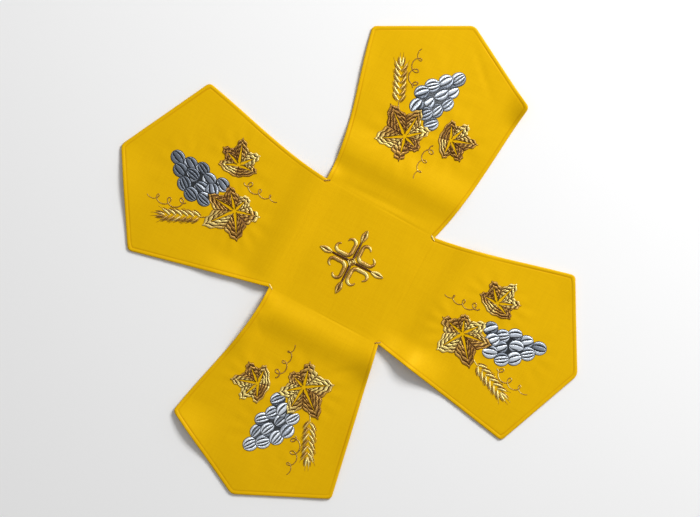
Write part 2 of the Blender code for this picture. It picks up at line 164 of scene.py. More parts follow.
@dataclass(frozen=True)
class Cut:
    """The veil's outline and the patches that fill it, in plan millimetres before it is centred."""

    corner_reach: float = 3.2
    edge_steps: int = 30

    def middle(self) -> Array:
        """Return the middle of the box around the cut, which is the model's origin."""
        points = np.concatenate([arm.to_plan((arm.left, arm.tip, arm.right)) for arm in ARMS])
        return (points.min(axis=0) + points.max(axis=0)) / 2.0

    def square_patch(self, s: Array, t: Array) -> Array:
        """Place on the square: straight lines between its corners both ways."""
        s, t = s[..., None], t[..., None]
        left = CORNERS[2] + (CORNERS[1] - CORNERS[2]) * t
        right = CORNERS[3] + (CORNERS[0] - CORNERS[3]) * t
        return left + (right - left) * s

    def arm_patch(self, index: int, s: Array, t: Array) -> Array:
        """Place on an arm: straight lines from the square's side to the pointed end, and bowed sides.

        A side leaves its straight line by its bow times 27/4 of t times (1 - t) squared, so the bow is
        reached at a third of its length. The bow fades in a straight line towards the other side.

        Args:
            index: The arm's place in the table.
            s: 0 at the arm's left side and 1 at its right one.
            t: 0 at the square and 1 at the pointed end.

        Returns:
            Plan points, with the shape of s and one axis more.
        """
        arm = ARMS[index]
        left_corner, right_corner = CORNERS[index], CORNERS[index - 1]
        left, tip, right = arm.to_plan((arm.left, arm.tip, arm.right))
        bow = (t * (1.0 - t) ** 2 * 27.0 / 4.0)[..., None]
        s, t = s[..., None], t[..., None]
        end = np.where(s < 0.5, left + (tip - left) * 2.0 * s, tip + (right - tip) * (2.0 * s - 1.0))
        base = left_corner + (right_corner - left_corner) * s
        left_out = turned(unit(left - left_corner), 90.0) * arm.left_bow
        right_out = turned(unit(right - right_corner), -90.0) * arm.right_bow
        return base + (end - base) * t + left_out * bow * (1.0 - s) + right_out * bow * s

    def soften(self, points: Array) -> Array:
        """Round the outline's outer corners by drawing what is near them inwards.

        Near a corner a point moves along its bisector by a depth times (1 - distance / reach) squared. The
        depth is half the reach times the cosine of half the corner's angle, which makes the edge run
        through the corner without a kink.

        Args:
            points: Plan points.

        Returns:
            The points, moved where they are within reach of a corner.
        """
        moved = points.copy()
        for index, arm in enumerate(ARMS):
            chain = np.array((CORNERS[index], *arm.to_plan((arm.left, arm.tip, arm.right)), CORNERS[index - 1]))
            for before, corner, after in zip(chain, chain[1:], chain[2:]):
                bisector = unit(before - corner) + unit(after - corner)
                half_cosine = np.linalg.norm(bisector) / 2.0
                distance = np.linalg.norm(points - corner, axis=-1)
                fall = np.clip(1.0 - distance / self.corner_reach, 0.0, 1.0) ** 2
                depth = self.corner_reach / 2.0 * half_cosine
                moved += (unit(bisector) * depth) * fall[..., None]
        return moved

    def outline(self) -> Array:
        """Return the softened outline as a closed row of points, anticlockwise."""
        share = np.linspace(0.0, 1.0, self.edge_steps, endpoint=False)
        near_end = 1.0 - (1.0 - share) ** 2
        runs = []
        for index in range(len(ARMS)):
            one = np.ones_like(share)
            runs.append(self.arm_patch(index, one, near_end))
            ends = np.concatenate((near_end / 2.0, 0.5 + share**2 / 2.0))
            runs.append(self.arm_patch(index, 1.0 - ends, np.ones_like(ends)))
            runs.append(self.arm_patch(index, 0.0 * one, 1.0 - share**2))
        return self.soften(np.concatenate(runs))

    def edge_distance(self, points: Array) -> Array:
        """Return how far plan points are from the outline.

        Args:
            points: Plan points, one a row.

        Returns:
            The distance to the nearest of the outline's straight pieces.
        """
        start = self.outline()
        along = np.roll(start, -1, axis=0) - start
        nearest = np.full(len(points), np.inf)
        for origin, run in zip(start, along):
            offset = points - origin
            share = np.clip(offset @ run / max(run @ run, 1e-12), 0.0, 1.0)
            nearest = np.minimum(nearest, np.linalg.norm(offset - share[:, None] * run, axis=1))
        return nearest


@dataclass(frozen=True)
class Ridge:
    """Soft fold across an arm, parallel to the square's side: crest out from that side, and slopes."""

    arm: str
    left_crest: float
    right_crest: float
    inner_reach: float
    outer_reach: float
    left_height: float
    right_height: float

    RUN = 46.0
    FADE = 12.0

    def rise(self, x: Array, y: Array) -> Array:
        """Return the fold's height at plan places."""
        out, aside = ARM[self.arm].to_arm(x, y)
        share = np.clip(0.5 + aside / (2.0 * self.RUN), 0.0, 1.0)
        offset = out - (self.right_crest + share * (self.left_crest - self.right_crest))
        height = self.right_height + share * (self.left_height - self.right_height)
        reach = np.where(offset > 0.0, self.outer_reach, self.inner_reach)
        return height * swell(np.maximum(np.abs(aside) - self.RUN, 0.0), self.FADE) * swell(offset, reach)


@dataclass(frozen=True)
class Lift:
    """Place where an edge stands off the surface: out from the square's side, aside, and reaches."""

    arm: str
    out: float
    aside: float
    along: float
    across: float
    height: float

    def rise(self, x: Array, y: Array) -> Array:
        """Return the lift's height at plan places."""
        out, aside = ARM[self.arm].to_arm(x, y)
        return self.height * swell(out - self.out, self.along) * swell(aside - self.aside, self.across)


@dataclass(frozen=True)
class Crease:
    """Shallow trough between two places on an arm, deepest half-way, out from the square's side."""

    arm: str
    start: tuple[float, float]
    end: tuple[float, float]
    width: float
    depth: float

    def rise(self, x: Array, y: Array) -> Array:
        """Return the trough's height, which is below zero, at plan places."""
        out, aside = ARM[self.arm].to_arm(x, y)
        start, run = np.array(self.start), np.array(self.end) - np.array(self.start)
        offset = np.stack((out, aside), axis=-1) - start
        share = offset @ run / (run @ run)
        across = np.abs(offset[..., 0] * run[1] - offset[..., 1] * run[0]) / np.linalg.norm(run)
        return -self.depth * bell(across, self.width) * swell(share - 0.5, 0.65)


@dataclass(frozen=True)
class Pucker:
    """Ring of small radial folds that the stitches draw in the satin around a motif of every spray."""

    out: float
    aside: float
    radius: float
    rays: int
    height: float

    FADE = 6.5

    def rise(self, x: Array, y: Array) -> Array:
        """Return the folds' height at plan places, for all the arms.

        Along the ring it is a sine of the angle about the motif, slowly bent so that the folds are uneven;
        across the ring it is a bell.
        """
        total = np.zeros_like(x)
        for number, arm in enumerate(ARMS):
            out, aside = arm.to_arm(x, y)
            side = -1.0 if arm.mirrored else 1.0
            out = out - self.out - arm.spray_out
            aside = aside - side * (self.aside + arm.spray_aside)
            angle = np.arctan2(aside, out)
            wave = np.sin(self.rays * angle + 1.9 * np.sin(2.0 * angle + number) + number)
            total += self.height * wave * bell(np.hypot(out, aside) - self.radius, self.FADE)
        return total


@dataclass(frozen=True)
class Drape:
    """Height of the satin over the surface it lies on."""

    ridges: tuple[Ridge, ...] = (
        Ridge("right", 31.0, 25.0, 17.0, 20.0, 2.8, 2.2),
        Ridge("top", 27.0, 26.0, 17.0, 22.0, 2.4, 2.0),
        Ridge("left", 4.0, 3.0, 17.0, 21.0, 3.2, 3.0),
        Ridge("bottom", 12.0, 14.0, 16.0, 18.0, 2.0, 2.4),
    )
    lifts: tuple[Lift, ...] = (
        Lift("right", 22.0, -54.0, 38.0, 26.0, 7.0),
        Lift("right", 116.0, 64.0, 26.0, 24.0, 2.2),
        Lift("top", 110.0, -66.0, 22.0, 24.0, 7.5),
        Lift("top", 70.0, 62.0, 44.0, 18.0, 2.0),
        Lift("left", 132.0, 34.0, 34.0, 40.0, 2.6),
        Lift("left", 34.0, 52.0, 30.0, 18.0, 2.4),
        Lift("bottom", 26.0, -54.0, 32.0, 24.0, 6.5),
        Lift("bottom", 122.0, -52.0, 32.0, 30.0, 5.0),
        Lift("bottom", 60.0, 60.0, 50.0, 16.0, 1.8),
    )
    creases: tuple[Crease, ...] = (
        Crease("top", (130.0, -6.0), (100.0, -36.0), 2.2, 0.35),
        Crease("top", (3.0, 40.0), (6.0, -42.0), 3.0, 0.5),
        Crease("right", (118.0, 62.0), (101.0, 52.0), 1.2, 0.3),
        Crease("left", (20.0, -52.0), (70.0, -56.0), 2.6, 0.3),
        Crease("bottom", (18.0, -44.0), (34.0, -30.0), 1.6, 0.3),
        Crease("bottom", (20.0, 40.0), (34.0, 20.0), 2.0, 0.3),
    )
    puckers: tuple[Pucker, ...] = (
        Pucker(51.5, 7.0, 22.0, 13, 0.16),
        Pucker(63.5, -22.5, 19.0, 11, 0.14),
        Pucker(90.0, 0.0, 22.0, 12, 0.12),
    )
    wave_height: float = 0.16
    wave_lengths: tuple[float, ...] = (71.0, 53.0, 44.0, 37.0, 29.0)
    wave_turns: tuple[float, ...] = (18.0, 97.0, 61.0, 142.0, 8.0)
    press_depth: float = 0.2
    press_width: float = 0.8

    def waves(self, x: Array, y: Array) -> Array:
        """Slight unevenness of cloth that has been folded away: a sum of long sines, never below zero."""
        total = np.zeros_like(x)
        for number, (length, turn) in enumerate(zip(self.wave_lengths, self.wave_turns)):
            angle = np.radians(turn)
            total += np.sin(TURN * (x * np.cos(angle) + y * np.sin(angle)) / length + 1.7 * number)
        return self.wave_height * np.maximum(total * 0.5 + 1.0, 0.0)

    def pressed(self, x: Array, y: Array) -> Array:
        """Pressed lines along the square's four sides, stronger and weaker by turns."""
        total = np.zeros_like(x)
        for index, arm in enumerate(ARMS):
            start, run = CORNERS[index], CORNERS[index - 1] - CORNERS[index]
            offset = np.stack((x, y), axis=-1) - start
            share = offset @ run / (run @ run)
            across = np.abs(offset[..., 0] * run[1] - offset[..., 1] * run[0]) / np.linalg.norm(run)
            strength = 0.6 + 0.4 * np.sin(7.0 * share + arm.turn)
            total -= self.press_depth * strength * bell(across, self.press_width) * swell(share - 0.5, 0.62)
        return total

    def base(self, x: Array, y: Array) -> Array:
        """Return the height of the sheet's underside at plan places."""
        total = self.waves(x, y)
        for fold in (*self.ridges, *self.lifts):
            total = total + fold.rise(x, y)
        return total

    def top(self, x: Array, y: Array) -> Array:
        """Return the height of the satin's face at plan places, away from the sheet's edge."""
        total = self.base(x, y) + SHEET + self.pressed(x, y)
        for fold in (*self.creases, *self.puckers):
            total = total + fold.rise(x, y)
        return total


@dataclass(frozen=True)
class NodeBench:
    """Small helper that adds and links shader nodes in one tree."""

    tree: bpy.types.NodeTree

    def add(self, kind: str, **values: object) -> bpy.types.Node:
        """Add a node and set its properties; a value whose name is an input's sets that input.

        Args:
            kind: The node's type, without its leading ShaderNode.
            values: Properties or inputs by name, with _ for a space.

        Returns:
            The new node.
        """
        node = self.tree.nodes.new(f"ShaderNode{kind}")
        for name, value in values.items():
            title = name.replace("_", " ")
            if hasattr(node, name):
                setattr(node, name, value)
            else:
                node.inputs[title].default_value = value
        return node

    def link(self, source: bpy.types.NodeSocket, target: bpy.types.NodeSocket) -> None:
        """Join an output to an input."""
        self.tree.links.new(source, target)

    def math(self, operation: str, *terms: bpy.types.NodeSocket | float) -> bpy.types.NodeSocket:
        """Add a Math node on sockets or numbers and return its result."""
        node = self.tree.nodes.new("ShaderNodeMath")
        node.operation = operation
        for slot, term in zip(node.inputs, terms):
            if isinstance(term, bpy.types.NodeSocket):
                self.link(term, slot)
            else:
                slot.default_value = term
        return node.outputs[0]

    def mix(self, share: bpy.types.NodeSocket, first: bpy.types.NodeSocket | Colour,
            second: bpy.types.NodeSocket | Colour, blend: str = "MIX") -> bpy.types.NodeSocket:
        """Add a colour Mix node and return its result.

        Args:
            share: How much of the second colour is laid on.
            first: A colour or the socket that gives it.
            second: A colour or the socket that gives it.
            blend: The blend type.

        Returns:
            The mixed colour.
        """
        node = self.tree.nodes.new("ShaderNodeMix")
        node.data_type = "RGBA"
        node.blend_type = blend
        self.link(share, node.inputs["Factor"])
        for slot, colour in ((node.inputs[6], first), (node.inputs[7], second)):
            if isinstance(colour, bpy.types.NodeSocket):
                self.link(colour, slot)
            else:
                slot.default_value = (*colour, 1.0)
        return node.outputs[2]


def new_group(name: str, inputs: dict[str, tuple[str, float | None]], outputs: tuple[str, ...]) -> NodeBench:
    """Make a shader node group with its sockets and its two end nodes.

    Args:
        name: The group's name.
        inputs: Socket kind and default value by input name.
        outputs: Names of the float outputs.

    Returns:
        A bench on the new group's tree.
    """
    tree = bpy.data.node_groups.new(name, "ShaderNodeTree")
    for title, (kind, value) in inputs.items():
        socket = tree.interface.new_socket(title, in_out="INPUT", socket_type=kind)
        if value is not None:
            socket.default_value = value
    for title in outputs:
        tree.interface.new_socket(title, in_out="OUTPUT", socket_type="NodeSocketFloat")
    tree.nodes.new("NodeGroupInput")
    tree.nodes.new("NodeGroupOutput")
    return NodeBench(tree)


class Effects:
    """The node groups that the finishes share, each built once."""

    def __init__(self) -> None:
        """Build the groups."""
        self.weave = self._weave()
        self.stitch = self._stitch()

    @staticmethod
    def _weave() -> bpy.types.NodeTree:
        """Satin weave: fine warp and weft waves, and long slubs along both threads.

        Returns:
            The group, with Height for a bump and Slub for the colour.
        """
        sockets = {"Vector": ("NodeSocketVector", None), "Pitch": ("NodeSocketFloat", 0.4)}
        bench = new_group("satin weave", sockets, ("Height", "Slub"))
        source, sink = bench.tree.nodes["Group Input"], bench.tree.nodes["Group Output"]
        split = bench.add("SeparateXYZ")
        bench.link(source.outputs["Vector"], split.inputs[0])
        waves = []
        for axis, width in (("X", 1.0), ("Y", 2.5)):
            phase = bench.math("DIVIDE", split.outputs[axis], source.outputs["Pitch"])
            waves.append(bench.math("SINE", bench.math("MULTIPLY", phase, TURN / width)))
        slubs = []
        for stretch in ((1.6, 0.07, 1.0), (0.07, 1.6, 1.0)):
            mapping = bench.add("Mapping", Scale=stretch)
            noise = bench.add("TexNoise", Scale=1.0, Detail=2.0, Roughness=0.5)
            bench.link(source.outputs["Vector"], mapping.inputs["Vector"])
            bench.link(mapping.outputs[0], noise.inputs["Vector"])
            slubs.append(noise.outputs["Fac"])
        slub = bench.math("MULTIPLY", bench.math("ADD", *slubs), 0.5)
        woven = bench.math("ADD", bench.math("MULTIPLY", waves[0], 0.16), bench.math("MULTIPLY", waves[1], 0.08))
        bench.link(bench.math("ADD", woven, slub), sink.inputs["Height"])
        bench.link(slub, sink.inputs["Slub"])
        return bench.tree

    @staticmethod
    def _stitch() -> bpy.types.NodeTree:
        """Threads laid side by side across a column: one ridge a thread, and flecks along each thread.

        Returns:
            The group, with Height for a bump, Fleck for the colour and Rim, 1 at the column's sides, where the finish
            paints shade.
        """
        sockets = {"Vector": ("NodeSocketVector", None), "Pitch": ("NodeSocketFloat", 0.42)}
        bench = new_group("satin stitch", sockets, ("Height", "Fleck", "Rim"))
        source, sink = bench.tree.nodes["Group Input"], bench.tree.nodes["Group Output"]
        split = bench.add("SeparateXYZ")
        bench.link(source.outputs["Vector"], split.inputs[0])
        phase = bench.math("DIVIDE", split.outputs["X"], source.outputs["Pitch"])
        ridge = bench.math("ABSOLUTE", bench.math("SINE", bench.math("MULTIPLY", phase, TURN / 2.0)))
        mapping = bench.add("Mapping", Scale=(2.2, 1.3, 1.0))
        noise = bench.add("TexNoise", Scale=1.0, Detail=3.0, Roughness=0.6)
        bench.link(source.outputs["Vector"], mapping.inputs["Vector"])
        bench.link(mapping.outputs[0], noise.inputs["Vector"])
        offset = bench.math("ABSOLUTE", bench.math("SUBTRACT", bench.math("MULTIPLY", split.outputs["Y"], 2.0), 1.0))
        rim = bench.math("POWER", bench.math("MINIMUM", offset, 1.0), 5.0)
        bench.link(bench.math("ADD", ridge, bench.math("MULTIPLY", noise.outputs["Fac"], 0.6)), sink.inputs["Height"])
        bench.link(noise.outputs["Fac"], sink.inputs["Fleck"])
        bench.link(rim, sink.inputs["Rim"])
        return bench.tree


def new_material(name: str) -> tuple[bpy.types.Material, NodeBench, bpy.types.Node]:
    """Make a material and return it with a bench on its tree and its Principled shader."""
    material = bpy.data.materials.new(name)
    material.use_nodes = True
    return material, NodeBench(material.node_tree), material.node_tree.nodes["Principled BSDF"]


@dataclass(frozen=True)
class SatinFinish:
    """Finish of the satin: a fine weave, faint slubs, and painted shade in the hem's groove."""

    name: str = "golden satin"
    colour: Colour = (0.74, 0.425, 0.0025)
    slub_colour: Colour = (0.69, 0.385, 0.002)
    groove_shade_colour: Colour = (0.50, 0.20, 0.001)
    gloss_colour: Colour = (1.0, 0.7, 0.06)
    roughness: float = 0.44
    specular: float = 0.35
    sheen: float = 0.12
    weave_pitch: float = 0.4
    weave_depth: float = 0.00006

    def build(self, effects: Effects) -> bpy.types.Material:
        """Build the material.

        Args:
            effects: The shared node groups.

        Returns:
            The material.
        """
        material, bench, shader = new_material(self.name)
        place = bench.add("TexCoord")
        mapping = bench.add("Mapping", Scale=(1.0 / MM, 1.0 / MM, 1.0 / MM))
        weave = bench.add("Group", node_tree=effects.weave)
        weave.inputs["Pitch"].default_value = self.weave_pitch
        bench.link(place.outputs["Object"], mapping.inputs["Vector"])
        bench.link(mapping.outputs[0], weave.inputs["Vector"])
        groove = bench.add("Attribute", attribute_name="groove")
        slub = bench.math("MULTIPLY", bench.math("SUBTRACT", weave.outputs["Slub"], 0.4), 3.0)
        slub.node.use_clamp = True
        cloth = bench.mix(slub, self.colour, self.slub_colour)
        # Painted shade: the colour is darkened towards the groove colour inside the hem's groove.
        bench.link(bench.mix(groove.outputs["Fac"], cloth, self.groove_shade_colour), shader.inputs["Base Color"])
        bump = bench.add("Bump", Strength=0.35, Distance=self.weave_depth)
        bench.link(weave.outputs["Height"], bump.inputs["Height"])
        bench.link(bump.outputs[0], shader.inputs["Normal"])
        shader.inputs["Roughness"].default_value = self.roughness
        shader.inputs["Specular IOR Level"].default_value = self.specular
        shader.inputs["Specular Tint"].default_value = (*self.gloss_colour, 1.0)
        shader.inputs["Sheen Weight"].default_value = self.sheen
        shader.inputs["Sheen Roughness"].default_value = 0.4
        shader.inputs["Sheen Tint"].default_value = (*self.gloss_colour, 1.0)
        return material


@dataclass(frozen=True)
class ThreadFinish:
    """Finish of shiny embroidery thread, painted pale or dark by how it lies to the light.

    A thread looks pale where it runs across the light and dark where it runs along it, so the colour is painted
    from dark through middle to pale with the painted sheen attribute, and the gloss is stretched across the threads.
    """

    name: str
    # Colours from deep, also used as painted shade, through dark and middle to pale, a painted highlight.
    deep: Colour
    dark: Colour
    middle: Colour
    pale: Colour
    roughness: float
    metallic: float
    stops: tuple[float, ...] = (0.0, 0.24, 0.62, 1.0)
    thread_pitch: float = 0.42
    thread_depth: float = 0.00009

    def build(self, effects: Effects) -> bpy.types.Material:
        """Build the material.

        Args:
            effects: The shared node groups.

        Returns:
            The material.
        """
        material, bench, shader = new_material(self.name)
        place = bench.add("UVMap", uv_map="stitch")
        stitch = bench.add("Group", node_tree=effects.stitch)
        stitch.inputs["Pitch"].default_value = self.thread_pitch
        bench.link(place.outputs[0], stitch.inputs["Vector"])
        # Painted sheen: the attribute picks the colour from painted shade to painted highlight.
        lay = bench.add("Attribute", attribute_name="lay")
        fleck = bench.math("ADD", bench.math("MULTIPLY", stitch.outputs["Fleck"], 0.8), 0.6)
        share = bench.math("MULTIPLY", lay.outputs["Fac"], fleck)
        ramp = bench.add("ValToRGB")
        ramp.color_ramp.elements.remove(ramp.color_ramp.elements[1])
        ramp.color_ramp.elements[0].color = (*self.deep, 1.0)
        for stop, colour in zip(self.stops[1:], (self.dark, self.middle, self.pale)):
            ramp.color_ramp.elements.new(stop).color = (*colour, 1.0)
        bench.link(share, ramp.inputs[0])
        # Painted shade: darker towards the column's sides, where the threads turn down into the satin.
        bench.link(bench.mix(stitch.outputs["Rim"], ramp.outputs[0], self.deep), shader.inputs["Base Color"])
        bump = bench.add("Bump", Strength=0.6, Distance=self.thread_depth)
        bench.link(stitch.outputs["Height"], bump.inputs["Height"])
        bench.link(bump.outputs[0], shader.inputs["Normal"])
        tangent = bench.add("Tangent", direction_type="UV_MAP", uv_map="stitch")
        bench.link(tangent.outputs[0], shader.inputs["Tangent"])
        shader.inputs["Roughness"].default_value = self.roughness
        shader.inputs["Metallic"].default_value = self.metallic
        shader.inputs["Anisotropic"].default_value = 0.8
        return material


@dataclass
class MeshData:
    """Arrays of one mesh, in plan millimetres before it is centred."""

    points: Array
    quads: Array
    uv: Array | None = None
    attributes: dict[str, Array] = field(default_factory=dict)

    def build(self, name: str, middle: Array, material: bpy.types.Material, sharp: float) -> bpy.types.Object:
        """Make the object, its place in its mesh and in metres.

        Args:
            name: The object's name.
            middle: Plan place that becomes the origin.
            material: The finish.
            sharp: Angle in degrees past which an edge isn't smoothed.

        Returns:
            The linked object.
        """
        mesh = bpy.data.meshes.new(name)
        points = (self.points - (*middle, 0.0)) * MM
        mesh.from_pydata(points, [], self.quads)
        if self.uv is not None:
            layer = mesh.uv_layers.new(name="stitch")
            layer.data.foreach_set("uv", self.uv[self.quads.ravel()].astype(np.float32).ravel())
        for title, values in self.attributes.items():
            attribute = mesh.attributes.new(title, "FLOAT", "POINT")
            attribute.data.foreach_set("value", values.astype(np.float32))
        mesh.materials.append(material)
        mesh.shade_smooth()
        mesh.set_sharp_from_angle(angle=np.radians(sharp))
        mesh.validate()
        piece = bpy.data.objects.new(name, mesh)
        bpy.context.scene.collection.objects.link(piece)
        return piece


def grid_quads(index: Array) -> Array:
    """Return the quads of a grid of vertex numbers, anticlockwise from its first axis to its second."""
    corners = (index[:-1, :-1], index[1:, :-1], index[1:, 1:], index[:-1, 1:])
    return np.stack(corners, axis=-1).reshape(-1, 4)


@dataclass(frozen=True)
class Satin:
    """The sheet: a square and four arms in one closed mesh, with a rolled edge and an understitched hem."""

    cut: Cut
    drape: Drape
    fine: float = 0.27
    coarse: float = 1.85
    fine_depth: float = 3.4
    blend_depth: float = 6.0
    press_fine: float = 1.4
    width: float = 105.0
    length: float = 125.0
    roll_radius: float = 0.75
    hem_line: float = 2.7
    hem_width: float = 0.42
    hem_depth: float = 0.24
    hem_rise: float = 0.14
    flat_width: float = 0.354
    flat_length: float = 0.365
    flat_area: float = 0.0587

    def lines(self, length: float, near_start: float) -> Array:
        """Space grid lines over a length, close near both ends and wide between them.

        The spacing grows from fine to coarse as a smooth step over the blend depth, and the lines are where
        the sum of one over the spacing reaches whole numbers.

        Args:
            length: The length in millimetres.
            near_start: How far in from the start the spacing stays fine.

        Returns:
            Places of the lines as shares of the length, from 0 to 1.
        """
        place = np.linspace(0.0, length, 4001)
        step = np.minimum(np.maximum(place - near_start, 0.0), np.maximum(length - place - self.fine_depth, 0.0))
        share = 1.0 - swell(step, self.blend_depth)
        spacing = self.fine + (self.coarse - self.fine) * share
        count = np.concatenate(((0.0,), np.cumsum(1.0 / spacing[1:]))) * length / 4000.0
        steps = int(np.ceil(count[-1] / 2.0)) * 2
        return np.interp(np.linspace(0.0, count[-1], steps + 1), count, place) / length

    def patches(self) -> tuple[Array, Array, Array]:
        """Lay out the grids of the square and the arms, joined along the square's sides.

        Returns:
            Plan points, the quads of the face side, and which points are on the outline.
        """
        across = self.lines(self.width, self.fine_depth)
        across = (across + 1.0 - across[::-1]) / 2.0
        along = self.lines(self.length, self.press_fine)
        count, rows = len(across), len(along)
        square = np.arange(count * count).reshape(count, count)
        points = [self.cut.square_patch(*np.meshgrid(across, across, indexing="ij")).reshape(-1, 2)]
        quads = [grid_quads(square)]
        rim = [square[[0, 0, -1, -1], [0, -1, 0, -1]]]
        roots = (square[-1, ::-1], square[:, -1], square[0, :], square[::-1, 0])
        start = square.size
        for index, root in enumerate(roots):
            grid = np.empty((count, rows), dtype=int)
            grid[:, 0] = root
            grid[:, 1:] = start + np.arange(count * (rows - 1)).reshape(count, rows - 1)
            start += count * (rows - 1)
            s, t = np.meshgrid(across, along[1:], indexing="ij")
            points.append(self.cut.arm_patch(index, s, t).reshape(-1, 2))
            quads.append(grid_quads(grid))
            rim.extend((grid[0], grid[-1], grid[:, -1]))
        on_rim = np.zeros(start, dtype=bool)
        on_rim[np.concatenate(rim)] = True
        return self.cut.soften(np.concatenate(points)), np.concatenate(quads), on_rim

    def hem(self, x: Array, y: Array, edge: Array) -> tuple[Array, Array]:
        """Shape the face near the edge: a soft roll, then the narrow groove of the understitching.

        Args:
            x: Plan places.
            y: Plan places.
            edge: Their distance from the outline.

        Returns:
            The height to add, and the groove's strength from 0 to 1, which also sets where shade is painted.
        """
        uneven = 0.65 + 0.35 * np.sin(x / 11.0 + 1.3 * np.sin(y / 17.0)) * np.sin(y / 13.0 + 0.6)
        groove = bell(edge - self.hem_line, self.hem_width) * uneven
        roll = bell(edge - self.hem_line / 2.0, self.hem_line / 3.0)
        return self.hem_rise * roll - self.hem_depth * groove, groove

    def build(self, middle: Array, material: bpy.types.Material) -> bpy.types.Object:
        """Build the sheet, its face and underside meeting in a half-round edge.

        At a distance d inside the outline, up to the roll's radius r, the sheet is as thick as a half circle
        is there: the full thickness times the root of 1 - (1 - d / r) squared.

        Args:
            middle: Plan place that becomes the origin.
            material: The finish.

        Returns:
            The sheet's object.
        """
        plan, quads, on_rim = self.patches()
        x, y = plan.T
        edge = np.where(on_rim, 0.0, self.cut.edge_distance(plan))
        roundness = np.sqrt(1.0 - (1.0 - np.clip(edge / self.roll_radius, 0.0, 1.0)) ** 2)
        base = self.drape.base(x, y)
        heart = base + SHEET / 2.0
        rise, groove = self.hem(x, y, edge)
        face_rise = self.drape.top(x, y) - base - SHEET + rise
        face = heart + (SHEET / 2.0 + face_rise) * roundness
        under = heart - SHEET / 2.0 * roundness
        inside = np.flatnonzero(~on_rim)
        below = np.arange(len(plan))
        below[inside] = len(plan) + np.arange(len(inside))
        points = np.concatenate((np.column_stack((plan, face)), np.column_stack((plan[inside], under[inside]))))
        data = MeshData(points, np.concatenate((quads, below[quads][:, ::-1])))
        # The groove's strength, scaled, sets where the satin finish paints shade.
        data.attributes["groove"] = np.concatenate((0.55 * groove, np.zeros(len(inside))))
        return data.build("cloth", middle, material, 180.0)


@dataclass(frozen=True)
class Place:
    """A motif's place: its own frame on an arm's spray, or on the square where there is no arm."""

    arm: Arm | None = None
    out: float = 0.0
    aside: float = 0.0
    turn: float = 0.0

    def to_spray(self, points: Array) -> Array:
        """Turn points of the motif's own frame into the spray's: out from the square's side, aside."""
        return turned(points, self.turn) + (self.out, self.aside)

    def from_spray(self, points: Array) -> Array:
        """Turn points of the spray's frame into the motif's own."""
        return turned(points - (self.out, self.aside), -self.turn)

    def mirrored(self) -> bool:
        """Tell whether the arm's spray has its left and right exchanged."""
        return self.arm is not None and self.arm.mirrored

    def to_plan(self, points: Array) -> Array:
        """Turn points of the motif's own frame into plan coordinates."""
        spray = self.to_spray(points)
        if self.arm is None:
            return spray
        side = -1.0 if self.arm.mirrored else 1.0
        spray = spray + (HALF_SIDE + self.arm.spray_out, self.arm.spray_aside)
        return self.arm.to_plan(spray * (1.0, side))


